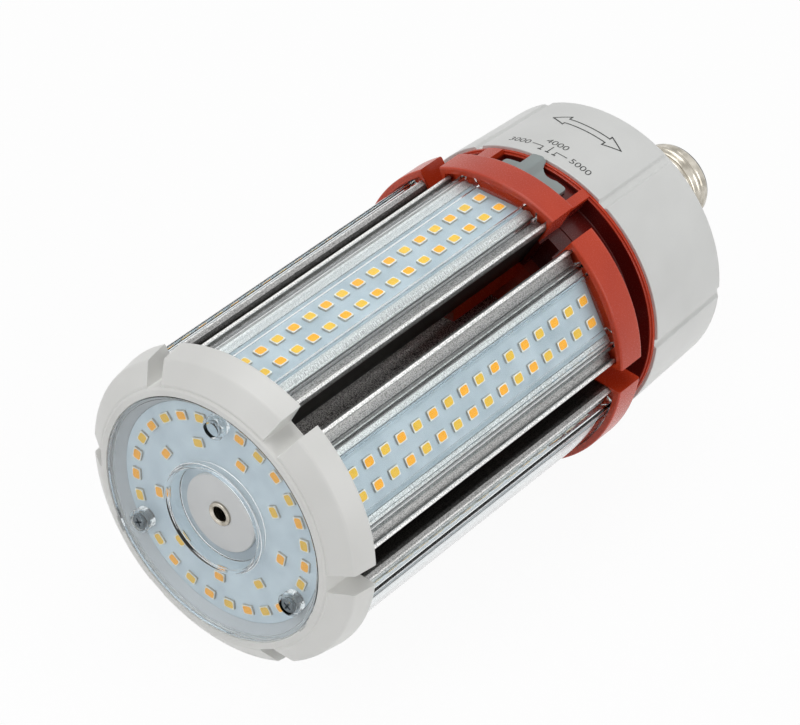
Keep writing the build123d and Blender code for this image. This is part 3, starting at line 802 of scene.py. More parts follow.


# The cap's recess colour is painted shade on its inner wall behind the window.
CAP_WHITE = MouldedPlastic(
    "CapWhite", "#E6E6E3", "#EDEDEA", glow=0.06, recess="#B4B8BC", rim_radius=36.4,
    shade_start=-105.0, throat_radii=(0.0, 0.0),
)
HOUSING_WHITE = MouldedPlastic("HousingWhite", "#DFE0DE", "#E7E8E6", 0.36, glow=0.06)
# The carrier's recess colour is painted shade in the recess behind the hoods and on the flange's front
# face.
CARRIER_RED = MouldedPlastic("CarrierRed", "#C13A1C", "#CE4423", 0.25, gloss=0.32, recess="#5C120D")
SLIDER_GREY = MouldedPlastic("SliderGrey", "#8A9494", "#98A1A0", 0.5)
HUB_GREY = MouldedPlastic("HubGrey", "#DADCDD", "#E2E4E4", 0.48)
SWITCH_BLACK = MouldedPlastic("SwitchBlack", "#17181A", "#1F2022", 0.5)
BASE_BLACK = MouldedPlastic("BaseBlack", "#0D0D11", "#15151A", 0.14)
FIBRE_GREEN = MouldedPlastic("FibreGreen", "#1C5637", "#24683F", 0.35)
FERRITE_GREY = MouldedPlastic("FerriteGrey", "#2A2B2D", "#353638", 0.6, 0.5, 0.02)
LED_CERAMIC = MouldedPlastic("LedCeramic", "#DAD7CC", "#E8E5DC", 0.4, 0.2, 0.003)
# The LED packages' grey lower part is painted shade on their sides.
LED_SHADED_BASE = MouldedPlastic("LedBase", "#9A958A", "#B4AEA2", 0.4, 0.2, 0.003)
SCREW_SLATE = MouldedPlastic("ScrewSlate", "#667076", "#767F85", 0.5)
COVER_CLEAR = ClearPolycarbonate("Cover", ripple=0.01, index=1.33)
LENS_CLEAR = ClearPolycarbonate("Lens", "#F5F8F9", 0.02, 0.002, 1.42)
ALUMINIUM = BlastedAluminium()
DUCT = BlastedAluminium("Duct", ("#625F5D", "#DCD9D6"), grit_size=0.3, grit_share=0.95, grit_depth=0.06)
NICKEL = PlatedMetal("Nickel")
TIN = PlatedMetal("Tin", "#A9A8A6", "#D2D1CF", 0.3, (1, 1, 1))
BRASS = PlatedMetal("Brass", "#A98B52", "#CBB077", 0.24)
BOARD = BoardLacquer()
# The end board's lighter lacquer is painted light, lifting it where it sits in shade behind the window.
END_BOARD_LIGHTENED = BoardLacquer("End", "#B3C1CB", "#C6D3DB")
WARM_GEL = PhosphorGel("Warm", "#F29E00", "#FAB000")
COOL_GEL = PhosphorGel("Cool", "#DFAC1C", "#EABD38")
INK = PrintInk()


def seated(
    item: bpy.types.Object, finish: Finish, nodes: Sequence[str] = (), body: Body = Body.LAMP
) -> bpy.types.Object:
    """Give a piece its finish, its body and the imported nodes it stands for.

    Args:
        item: The piece.
        finish: What it is made of.
        nodes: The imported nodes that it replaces.
        body: The body that it rides on.

    Returns:
        The piece.
    """
    item.data.materials.clear()
    item.data.materials.append(finish.material())
    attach(item, body.value)
    if nodes:
        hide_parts(*nodes)
    LOG.info("%s: %d faces", item.name, len(item.data.polygons))
    return item


def dressed(frame: dict[str, Any], node: str, finish: Finish) -> None:
    """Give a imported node, whose shape is right, its finish."""
    item = frame["nodes"][node]
    item.data.materials.clear()
    item.data.materials.append(finish.material())
    LOG.info("%s keeps its solid", node)


# Geometry trees


class Tree:
    """A geometry node tree with named inputs."""

    def __init__(self, name: str, sizes: dict[str, str]) -> None:
        """Start the tree.

        Args:
            name: Name of the tree.
            sizes: Its inputs by name, each with the type of its socket.
        """
        self.tree = bpy.data.node_groups.new(name, "GeometryNodeTree")
        face = self.tree.interface
        face.new_socket("Geometry", in_out="INPUT", socket_type="NodeSocketGeometry")
        for label, kind in sizes.items():
            face.new_socket(label, in_out="INPUT", socket_type=kind)
        face.new_socket("Geometry", in_out="OUTPUT", socket_type="NodeSocketGeometry")
        self.given = self.tree.nodes.new("NodeGroupInput").outputs

    def add(self, kind: str, inputs: dict[Any, Any] | None = None, **settings: Any) -> Any:
        """Add a node to the tree."""
        return add_node(self.tree, kind, inputs, **settings)

    def close(self, geometry: bpy.types.NodeSocket) -> bpy.types.NodeTree:
        """Realize the instances, set the material and end the tree."""
        real = self.add("GeometryNodeRealizeInstances", {0: geometry})
        done = self.add(
            "GeometryNodeSetMaterial", {"Geometry": real.outputs[0], "Material": self.given["Material"]}
        )
        self.add("NodeGroupOutput", {0: done.outputs[0]})
        return self.tree

    @staticmethod
    def grow(item: bpy.types.Object, tree: bpy.types.NodeTree, values: dict[str, Any]) -> bpy.types.Object:
        """Run a tree on an object and keep the result as a plain mesh.

        Args:
            item: The object that the tree starts from.
            tree: The tree.
            values: Its inputs by name.

        Returns:
            The same object with the tree's mesh.
        """
        change = item.modifiers.new("Grow", "NODES")
        change.node_group = tree
        for entry in tree.interface.items_tree:
            if entry.item_type == "SOCKET" and entry.in_out == "INPUT" and entry.name in values:
                change[entry.identifier] = values[entry.name]
        return baked(item)


def tablet_tree() -> bpy.types.NodeTree:
    """Build the tree that seats a rounded tablet on each point, turned by the point's own attribute."""
    work = Tree(
        "SeatTablets",
        {
            "Length": "NodeSocketFloat", "Width": "NodeSocketFloat", "Height": "NodeSocketFloat",
            "Corner": "NodeSocketFloat", "Lift": "NodeSocketFloat", "Material": "NodeSocketMaterial",
        },
    )
    given = work.given
    outline = work.add(
        "GeometryNodeCurvePrimitiveQuadrilateral", {"Width": given["Length"], "Height": given["Width"]}
    )
    corner = work.add(
        "GeometryNodeFilletCurve",
        {"Curve": outline.outputs[0], "Count": 3, "Radius": given["Corner"]}, mode="POLY",
    )
    flat = work.add("GeometryNodeFillCurve", {"Curve": corner.outputs[0]}, mode="NGONS")
    raised = work.add(
        "GeometryNodeExtrudeMesh",
        {"Mesh": flat.outputs[0], "Offset Scale": given["Height"], "Individual": False}, mode="FACES",
    )
    under = work.add("GeometryNodeFlipFaces", {"Mesh": flat.outputs[0]})
    whole = work.add("GeometryNodeJoinGeometry", {0: under.outputs[0]})
    work.tree.links.new(raised.outputs[0], whole.inputs[0])
    closed = work.add("GeometryNodeMergeByDistance", {"Geometry": whole.outputs[0], "Distance": 1e-7})
    lift = work.add("ShaderNodeCombineXYZ", {"Z": given["Lift"]})
    tablet = work.add(
        "GeometryNodeTransform", {"Geometry": closed.outputs[0], "Translation": lift.outputs[0]}
    )
    turn = work.add("GeometryNodeInputNamedAttribute", {"Name": "seat_turn"}, data_type="FLOAT_VECTOR")
    angles = work.add("FunctionNodeEulerToRotation", {0: turn.outputs[0]})
    seats = work.add(
        "GeometryNodeInstanceOnPoints",
        {"Points": given["Geometry"], "Instance": tablet.outputs[0], "Rotation": angles.outputs[0]},
    )
    return work.close(seats.outputs[0])


def ring_tree() -> bpy.types.NodeTree:
    """Build the tree that repeats a piece round the lamp axis."""
    work = Tree(
        "RoundTheAxis",
        {"Count": "NodeSocketInt", "Axis Height": "NodeSocketFloat", "Material": "NodeSocketMaterial"},
    )
    given = work.given
    one = work.add("GeometryNodeGeometryToInstance", {0: given["Geometry"]})
    many = work.add(
        "GeometryNodeDuplicateElements", {"Geometry": one.outputs[0], "Amount": given["Count"]},
        domain="INSTANCE",
    )
    share = work.add("ShaderNodeMath", {0: 2 * math.pi, 1: given["Count"]}, operation="DIVIDE")
    angle = work.add(
        "ShaderNodeMath", {0: many.outputs["Duplicate Index"], 1: share.outputs[0]}, operation="MULTIPLY"
    )
    turn = work.add("ShaderNodeCombineXYZ", {"X": angle.outputs[0]})
    middle = work.add("ShaderNodeCombineXYZ", {"Z": given["Axis Height"]})
    turned = work.add(
        "GeometryNodeRotateInstances",
        {
            "Instances": many.outputs[0], "Rotation": turn.outputs[0],
            "Pivot Point": middle.outputs[0], "Local Space": False,
        },
    )
    return work.close(turned.outputs[0])


@dataclass(frozen=True)
class Seat:
    """Where an LED package sits, which way it faces and its colour."""

    place: Vector
    turn: tuple[float, float, float]
    warm: bool


# Sub-assemblies


@dataclass
class LedPackages:
    """Surface-mounted LEDs: a pale body with a rounded window of phosphor gel and tinned feet."""

    length: float = 3.5
    width: float = 2.8
    height: float = 0.66
    base_height: float = 0.42
    wall: float = 0.25
    corner: float = 0.2
    frame_step: float = 0.06
    window_corner: float = 0.7
    window_rise: float = 0.05
    gel_depth: float = 0.2
    foot_reach: float = 0.3
    foot_share: float = 0.62
    foot_height: float = 0.2
    foot_corner: float = 0.05

    def make(self, name: str, seats: Sequence[Seat], warm: Sequence[str], cool: Sequence[str]) -> None:
        """Build the packages on their seats.

        Args:
            name: First part of the pieces' names.
            seats: Where the packages sit.
            warm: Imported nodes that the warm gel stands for.
            cool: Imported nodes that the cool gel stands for.
        """
        base = (self.length, self.width, self.base_height, self.corner, 0.0)
        rim = (
            self.length - self.frame_step, self.width - self.frame_step, self.height - self.base_height,
            self.corner, self.base_height,
        )
        feet = (
            self.length + self.foot_reach, self.width * self.foot_share, self.foot_height,
            self.foot_corner, 0.0,
        )
        gel = (
            self.length - 2 * self.wall, self.width - 2 * self.wall, self.window_rise + self.gel_depth,
            self.window_corner, self.height - self.gel_depth,
        )
        warm_seats = [seat for seat in seats if seat.warm]
        cool_seats = [seat for seat in seats if not seat.warm]
        parts = (
            # The bases take the darker grey, painted shade on the packages' sides.
            ("bases", seats, base, LED_SHADED_BASE, Slot.COOL, ()),
            ("frames", seats, rim, LED_CERAMIC, Slot.COOL, ()),
            ("feet", seats, feet, TIN, Slot.NICKEL, ()),
            ("warm_gel", warm_seats, gel, WARM_GEL, Slot.WARM, warm),
            ("cool_gel", cool_seats, gel, COOL_GEL, Slot.COOL, cool),
        )
        tree = tablet_tree()
        for part, chosen, (length, width, height, corner, lift), finish, slot, nodes in parts:
            values = {
                "Length": length * MM, "Width": width * MM, "Height": height * MM,
                "Corner": corner * MM, "Lift": lift * MM, "Material": finish.material(),
            }
            item = self.points(f"{name}_{part}", chosen)
            seated(Tree.grow(item, tree, values), finish, nodes)

    @staticmethod
    def points(name: str, seats: Sequence[Seat]) -> bpy.types.Object:
        """Make the bare points that the tree starts from, each with its turn."""
        mesh = bpy.data.meshes.new(name)
        mesh.from_pydata([tuple(s.place) for s in seats], [], [])
        turns = mesh.attributes.new("seat_turn", "FLOAT_VECTOR", "POINT")
        turns.data.foreach_set("vector", [value for s in seats for value in s.turn])
        return linked(name, mesh)


@dataclass
class EndCap:
    """White castellated cap with its ring, six lugs, tongues and screw pillars."""

    bore: float = 36.4
    nose: float = 38.1
    ring: float = 38.6
    lug_start: float = 0.7
    lug_front: float = 39.3
    lug_edge: float = 44.9
    skirt: float = 37.2
    chamber: float = 33.1
    chamber_floor: float = 6.0
    ledge: float = 2.9
    slot_half: float = 2.8
    latch_half: float = 2.4
    latch_angles: tuple[float, float] = (120.0, 240.0)
    tongue_half: float = 9.0
    tongue_length: float = 9.5
    pillar: float = 3.3
    pillar_bore: float = 1.36
    rounding: float = 0.35

    def make(self) -> None:
        """Build the cap."""
        face, rear, back = AT.ring_face, AT.cap_rear, AT.partition_rear
        lug, floor, ledge = face + self.lug_start, face + self.chamber_floor, face + self.ledge
        profile = rounded([
            (face, self.bore, 0.3), (face, self.nose, 0.5), (face + 0.5, self.ring, 0.2),
            (lug, self.ring, 0.15), (lug, self.lug_front, 0.5), (face + 4.6, self.lug_edge, 1.6),
            (rear, AT.lamp_radius, 0.45), (rear, self.skirt), (back, self.skirt), (back, AT.duct_hole),
            (floor, AT.duct_hole), (floor, self.chamber), (face + 5.0, self.chamber),
            (ledge, 35.4, 0.2), (ledge, self.bore),
        ])
        cap = lathe("end_cap_shell", profile)
        slot = rounded(mirrored([
            (self.slot_half + 0.5, 48.0), (self.slot_half + 0.4, self.lug_edge),
            (self.slot_half, self.ring, 0.5),
        ]))
        latch = rounded([
            (-self.latch_half, 35.9), (self.latch_half, 35.9), (self.latch_half, 36.95, 0.3),
            (-self.latch_half, 36.95, 0.3),
        ])
        gaps = AT.sides_at(AT.side_turn / 2)
        combined(cap, [prism("slot", slot, lug, rear + 1, angle) for angle in gaps], Cut.OFF)
        pockets = [prism("pocket", pocket(), back, rear + 1, angle) for angle in AT.sides_at()]
        combined(cap, pockets, Cut.OFF)
        latches = [prism("latch", latch, face - 1, face + 2.2, angle) for angle in self.latch_angles]
        combined(cap, latches, Cut.OFF)
        softened(cap, self.rounding)
        tongue = bar(self.tongue_half, 31.15, 36.15, 0.3)
        pillar = [
            (face + 6.1, self.pillar_bore), (face + 6.1, self.pillar), (face + 14, self.pillar),
            (face + 14, self.pillar_bore),
        ]
        start, end = back - 0.5, back + self.tongue_length
        parts = [
            cap,
            *(prism("tongue", tongue, start, end, angle) for angle in AT.sides_at()),
            *(lathe("pillar", pillar, 48, (0, AT.boss_circle), angle) for angle in AT.sides_at()[::2]),
        ]
        seated(smoothed(joined("cap_moulding", parts)), CAP_WHITE, ["end_cap"])


@dataclass
class EndWindow:
    """Clear window with its well and bosses, the screws, the round board and the hub."""

    setback: float = 0.2
    wall: float = 1.6
    rim: float = 36.15
    rim_inner: float = 35.1
    rim_depth: float = 1.9
    well_top: float = 15.6
    well_foot: float = 14.3
    boss: float = 3.4
    boss_bore: float = 2.35
    boss_depth: float = 3.0
    empty_depth: float = 3.8
    outer_ring: float = 29.0
    inner_ring: float = 21.2
    inner_start: float = 20.0
    outer_colours: str = "-WCWCWCWC-WCWCWCWC-CWWCWCWC"
    inner_colours: str = "WCWCWCWWC"
    screw_angles: tuple[float, ...] = (120.0, 240.0)
    head: float = 2.2
    head_height: float = 2.6
    shaft: float = 1.3
    screw_length: float = 11.6
    cross: Point = (1.25, 0.28)
    plug: float = 11.7
    plug_stem: float = 6.7
    bush_length: float = 12.4

    def make(self, frame: dict[str, Any]) -> None:
        """Build the window, its screws and its LEDs, and dress the board and hub."""
        front = AT.ring_face + self.setback
        foot = AT.board_front - 0.05
        back, edge = front + self.wall, front + self.rim_depth
        lens = lathe("window", rounded([
            (front, self.well_top, 0.5), (front, self.rim, 0.35), (edge, self.rim, 0.15),
            (edge, self.rim_inner, 0.15), (back, self.rim_inner, 0.15), (back, 16.3, 0.7),
            (foot, 15.5, 0.2), (foot, self.well_foot, 0.3), (front + 0.5, 15.1, 0.5),
        ]))
        boss = rounded([(front + 1.2, 0.0), (front + 1.2, self.boss), (foot, 3.2, 0.3), (foot, 0.0)])
        centre = (0, AT.boss_circle)
        angles = AT.sides_at()[::2]
        combined(lens, [lathe("boss", boss, 64, centre, angle) for angle in angles], Cut.ON)
        bores = []
        for angle in angles:
            deep = front + (self.boss_depth if angle in self.screw_angles else self.empty_depth)
            bore = [
                (front - 1, 0.0), (front - 1, self.boss_bore), (deep, self.boss_bore), (deep, 1.5),
                (foot + 1, 1.5), (foot + 1, 0.0),
            ]
            bores.append(lathe("bore", bore, 64, centre, angle))
        combined(lens, bores, Cut.OFF)
        seated(smoothed(lens), LENS_CLEAR, ["end_lens"])
        self.screws(front + 0.4)
        self.leds()
        self.hub()
        dressed(frame, "end_board", END_BOARD_LIGHTENED)

    def screws(self, top: float) -> None:
        """Build the two dark screws seen in the bosses, with cross recesses and heads that start at top."""
        under, tip = top + self.head_height, top + self.screw_length
        profile = rounded([
            (top, 0.0), (top, self.head, 0.7), (under, self.head), (under, self.shaft),
            (tip, self.shaft, 0.3), (tip, 0.0),
        ])
        middle = AT.boss_circle
        items = []
        for angle in self.screw_angles:
            screw = lathe("screw", profile, 64, (0.0, middle), angle)
            cuts = [
                prism("cross", bar(wide, middle - tall, middle + tall), top - 0.5, top + 1.0, angle)
                for wide, tall in (self.cross, self.cross[::-1])
            ]
            items.append(combined(screw, cuts, Cut.OFF))
        seated(smoothed(joined("window_screws", items)), SCREW_SLATE, ["lens_screws"])

    def leds(self) -> None:
        """Seat the LED packages on the round board."""
        seats = []
        rings = (
            (self.outer_ring, self.outer_colours, 0.0),
            (self.inner_ring, self.inner_colours, self.inner_start),
        )
        for radius, colours, first in rings:
            for k, colour in enumerate(colours):
                if colour == "-":
                    continue
                angle = first + 360.0 * k / len(colours)
                turn = math.radians(angle)
                across = Vector((0, math.cos(turn), math.sin(turn)))
                outward = Vector((0, -math.sin(turn), math.cos(turn)))
                axes = Matrix((across, -outward, Vector((-1, 0, 0)))).transposed()
                place = spot(AT.board_front, 0, radius, angle)
                seats.append(Seat(place, tuple(axes.to_euler()), colour == "W"))
        LedPackages().make("end_led", seats, ["end_leds_warm"], ["end_leds_cool"])

    def hub(self) -> None:
        """Build the pale plug and its nickel bush."""
        front = AT.board_front
        plug = lathe("hub_plug", rounded([
            (front - 1.0, 3.52, 0.15), (front - 1.0, self.plug, 0.45), (front, self.plug),
            (front, self.plug_stem), (front + 11, self.plug_stem, 0.3), (front + 11, 3.52),
        ]), 160)
        seated(smoothed(plug), HUB_GREY, ["hub_disc"])
        lip = front - 1.6
        end = lip + self.bush_length
        bush = lathe("threaded_bush", rounded([
            (lip, 2.5, 0.1), (lip, 3.5, 0.3), (end, 3.5), (end, 2.2), (lip + 0.4, 2.2, 0.2),
        ]), 96)
        seated(smoothed(bush), NICKEL, ["hub_bush"])


@dataclass
class SidePanels:
    """The six sides: extrusion, board, LEDs and clear cover."""

    board_top: float = 39.3
    wall: float = 1.5
    wall_slope: float = 7.8 / 14.4
    wall_foot: Point = (9.6, 23.5)
    tray_under: float = 36.3
    cover_radius: float = 43.8
    cover_inner: float = 42.7
    cover_half: float = 12.7
    roof_half: float = 10.95
    under_half: float = 8.6
    rows: tuple[float, float] = (-3.3, 3.3)
    pitch: float = 6.556
    per_row: int = 16
    first: float = 7.8

    def make(self, frame: dict[str, Any]) -> None:
        """Build all six sides."""
        self.heat_sinks()
        self.covers()
        self.leds()
        for node in AT.nodes("strip_board"):
            dressed(frame, node, BOARD)
        dressed(frame, "core_tube", DUCT)

    def ringed(self, item: bpy.types.Object, finish: Finish) -> bpy.types.Object:
        """Repeat one side's piece round the lamp."""
        values = {
            "Count": AT.sides, "Axis Height": AT.axis_height * MM, "Material": finish.material(),
        }
        return Tree.grow(item, ring_tree(), values)

    def heat_sinks(self) -> None:
        """Build the aluminium extrusions from one section."""
        thick = self.wall * math.sqrt(1 + self.wall_slope**2)
        foot, low = self.wall_foot
        tray_wall = foot + (self.tray_under - low) * self.wall_slope - thick
        outline = rounded(mirrored([
            (9.0, 38.3, 0.1), (9.0, 39.5, 0.2), (11.0, 39.5, 0.3), (11.5, 39.0, 0.15), (11.5, 38.6, 0.15),
            (11.0, 38.2, 0.1), (11.0, 37.3, 0.1), (12.85, 37.3, 0.1), (12.85, 37.9, 0.12),
            (16.2, 37.9, 0.15), (16.2, 39.2, 0.1), (16.5, 39.5, 0.12), (17.1, 39.5, 0.12),
            (17.4, 39.2, 0.1), (17.4, 37.9, 0.3), (foot, low, 0.35), (foot - thick, low, 0.35),
            (tray_wall, self.tray_under, 0.8),
        ]), 3)
        side = prism("extrusions", outline, AT.panel_front, AT.panel_rear)
        ringed = smoothed(self.ringed(side, ALUMINIUM), 30)
        seated(ringed, ALUMINIUM, AT.nodes("heat_sink"))

    def covers(self) -> None:
        """Build the clear covers from one section: roof, hooked sides and sloping inner legs."""
        outer, inner = self.cover_radius, self.cover_inner

        def height(radius: float, across: float) -> float:
            """Height of a circle about the lamp axis at a distance across."""
            return math.sqrt(radius**2 - across**2)

        half = self.cover_half
        roof = arc(outer, 0.0, -math.degrees(math.asin(self.roof_half / outer)), 16)
        flank = rounded([
            roof[-1], (half, height(outer, half), 1.9), (half, 37.45, 0.15), (11.6, 37.45, 0.1),
            (11.15, 37.6, 0.1), (11.15, 37.9, 0.1), (11.6, 38.35), (11.6, height(inner, 11.6), 0.9),
            (9.95, height(inner, 9.95), 0.25), (7.8, 39.35, 0.15), (7.0, 39.35, 0.15),
            (9.0, height(inner, 9.0), 0.25),
        ], 6)
        under = arc(inner, -math.degrees(math.asin(self.under_half / inner)), 0.0, 12)
        right = [*roof[:-1], *flank, *under]
        outline = [*right, *[(-across, out) for across, out in reversed(right[1:-1])]]
        side = prism("clear_covers", outline, AT.panel_front + 0.1, AT.panel_rear + 0.8)
        ringed = smoothed(self.ringed(side, COVER_CLEAR), 30)
        seated(ringed, COVER_CLEAR, AT.nodes("strip_cover"))

    def leds(self) -> None:
        """Seat two rows of LEDs on each side's board, the colours alternating."""
        seats = []
        for angle in AT.sides_at():
            for row in self.rows:
                for k in range(self.per_row):
                    place = spot(self.first - k * self.pitch, row, self.board_top, angle)
                    seats.append(Seat(place, (math.radians(angle), 0.0, 0.0), k % 2 == 0))
        LedPackages().make("side_led", seats, AT.nodes("warm_leds"), AT.nodes("cool_leds"))


@dataclass
class BaseCarrier:
    """Red moulded carrier with hoods, fingers, the switch bay, a flange and a spigot."""

    hood_half: float = 25.3
    recess: float = 36.0
    bay_floor: float = 40.2
    bay_angles: Point = (-24.0, 24.6)
    travel_angles: Point = (-16.6, 20.6)
    block_top: float = 43.0
    flange_front: float = 29.9
    flange_step: float = 0.6
    flange: float = 42.3
    spigot: float = 41.05
    spigot_length: float = 6.0
    cup: float = 33.8
    wall: float = 2.2
    throat_floor: float = 25.0
    throat_end: float = 14.3
    finger_half: float = 8.6
    finger_top: float = 23.15
    finger_low: float = 17.75
    rounding: float = 0.45

    def make(self) -> None:
        """Build the carrier."""
        front, rear, housing = AT.hood_front, AT.hood_rear, AT.housing_front
        flange, step = self.flange_front, self.flange_front + self.flange_step
        floor, tip = AT.pocket_floor + self.wall, housing + self.spigot_length
        body = lathe("carrier", rounded([
            (front, AT.duct_hole), (front, AT.lamp_radius, 0.7), (rear, AT.lamp_radius, 0.9),
            (rear, self.recess, 0.3), (flange, self.recess, 0.3), (flange, 41.7, 0.2), (step, 41.7, 0.1),
            (step, self.flange, 0.25), (housing, self.flange), (housing, self.spigot),
            (tip, self.spigot, 0.4), (tip, 38.85), (housing + 0.4, self.cup), (floor, self.cup),
            (floor, AT.duct_hole),
        ]))
        apart = AT.side_turn / 2 - self.hood_half
        gap = [*arc(49, -apart, apart, 6), *arc(self.recess, apart, -apart, 6)]
        throat = [(-2.5, 38.0), (2.5, 38.0), (2.1, self.throat_floor), (-2.1, self.throat_floor)]
        cutters = []
        for angle in AT.sides_at(AT.side_turn / 2):
            cutters.append(prism("gap", gap, front - 1, rear + 0.01, angle))
            cutters.append(prism("throat", throat, front - 1, self.throat_end, angle))
        cutters += [prism("pocket", pocket(), front - 1, AT.pocket_floor, angle) for angle in AT.sides_at()]
        combined(body, cutters, Cut.OFF)
        combined(body, self.bay(), Cut.ON)
        middle = rear + AT.switch_setback + AT.switch_half
        combined(body, [
            prism("stem_slot", bar(4.7, 38.0, 42.0), middle - 1.8, middle + 1.8, AT.switch_angle),
            prism("switch_pocket", bar(6.1, 27.0, 39.0), middle - 2.9, middle + 2.9, AT.switch_angle),
        ], Cut.OFF)
        softened(body, self.rounding, 3)
        parts = [body, *(self.finger(angle) for angle in AT.sides_at())]
        seated(smoothed(joined("carrier_moulding", parts)), CARRIER_RED, ["base_carrier"])

    def bay(self) -> list[bpy.types.Object]:
        """Build the bay's floor and the two blocks that end it, behind the top hood."""
        (start, end), (left, right) = self.bay_angles, self.travel_angles
        rings = (
            ("bay", self.recess - 0.5, self.bay_floor, start, end),
            ("block_left", self.recess, self.block_top, start, left),
            ("block_right", self.recess, self.block_top, right, end),
        )
        return [
            prism(
                name, [*arc(outer, first, last, 24), *arc(inner, last, first, 24)],
                AT.hood_rear - 0.2, self.flange_front + 0.2,
            )
            for name, inner, outer, first, last in rings
        ]

    def finger(self, angle: float) -> bpy.types.Object:
        """Build one finger that reaches between the extrusions' feet, with a bevelled tip."""
        top = self.finger_top
        sections = ((-17.4, top - 2.0), (-15.4, top), (AT.hood_front + 0.5, top))
        points = [
            spot(x, across, height, angle)
            for x, out in sections for across, height in bar(self.finger_half, self.finger_low, out)
        ]
        return softened(built("finger", points, tube_faces(len(sections), 4)), 0.5)


@dataclass
class ColourSwitch:
    """Grey thumb piece that slides round the axis between three marks."""

    under: float = 40.45
    top: float = 41.95
    wing_angles: Point = (-11.7, 17.3)
    wing_corner: float = 1.2
    thumb_angles: Point = (-3.7, 7.8)
    edge: float = 44.0
    ridge: float = 44.65
    end_gap: float = 0.9
    step: float = 42.6
    sweep: float = 4.2
    sweep_angle: float = 9.3
    sweep_setback: float = 0.6
    rounding: float = 0.4

    def make(self, frame: dict[str, Any]) -> None:
        """Build the thumb piece and dress the parts of the switch inside."""
        start = AT.hood_rear + AT.switch_setback
        end = AT.housing_front - self.end_gap
        thumb = self.crown(end)
        combined(thumb, [self.wings(start)], Cut.ON)
        turns = [math.radians(360.0 * k / 72) for k in range(72)]
        middle = end + self.sweep_setback
        hollow = [(middle + self.sweep * math.cos(t), self.sweep * math.sin(t)) for t in turns]
        combined(thumb, [self.upright("hollow", hollow, AT.switch_angle + self.sweep_angle)], Cut.OFF)
        softened(thumb, self.rounding, 3)
        middle = start + AT.switch_half
        stem = prism("stem", bar(2.1, 38.9, 40.9), middle - 1.5, middle + 1.5, AT.switch_angle)
        piece = smoothed(joined("thumb_piece", [thumb, stem]), 40)
        seated(piece, SLIDER_GREY, ["switch_slider"], Body.SLIDER)
        dressed(frame, "switch_nub", SWITCH_BLACK)
        dressed(frame, "switch_body", SWITCH_BLACK)

    def crown(self, end: float) -> bpy.types.Object:
        """Build the rounded hump for the thumb, with a step that clears the flange."""
        left, right = self.thumb_angles
        crest = [(self.edge, left, 0.7), (self.ridge, 2.6, 1.4), (42.35, 5.0, 1.6), (self.top, right)]
        hump = rounded([
            (-r * math.sin(math.radians(t)), r * math.cos(math.radians(t)), *more) for r, t, *more in crest
        ], 8)
        section = [*arc(self.under, right, left, 16), *hump]
        thumb = prism("thumb", section, AT.hood_rear + 0.7, end, AT.switch_angle)
        near, far = AT.flange_front - 0.5, AT.housing_front + 1
        step = lathe("step", [(near, 30), (near, self.step), (far, self.step), (far, 30)])
        return combined(thumb, [step], Cut.OFF)

    def wings(self, start: float) -> bpy.types.Object:
        """Build the two flat wings that ride on the bay's floor, with rounded corners."""
        end = start + 2 * AT.switch_half
        left, right = self.wing_angles
        section = [*arc(self.top, left, right, 58), *arc(self.under, right, left, 58)]
        wings = prism("wings", section, start, end, AT.switch_angle)
        far, near = [self.top * math.sin(math.radians(-angle)) for angle in (right, left)]
        corners = ((start, far), (end, far), (end, near), (start, near))
        plan = rounded([(*corner, self.wing_corner) for corner in corners], 6)
        return combined(wings, [self.upright("wing_plan", plan, AT.switch_angle)], Cut.WITH)

    def upright(self, name: str, plan: Sequence[Point], angle: float) -> bpy.types.Object:
        """Draw a plan outwards through the thumb piece.

        Args:
            name: Name of the solid.
            plan: Outline as place along the axis and across.
            angle: Angle that the solid points to, in degrees.

        Returns:
            The solid.
        """
        heights = (self.under - 5, self.ridge + 3)
        points = [spot(x, across, out, angle) for out in heights for x, across in plan]
        return built(name, points, tube_faces(2, len(plan)))


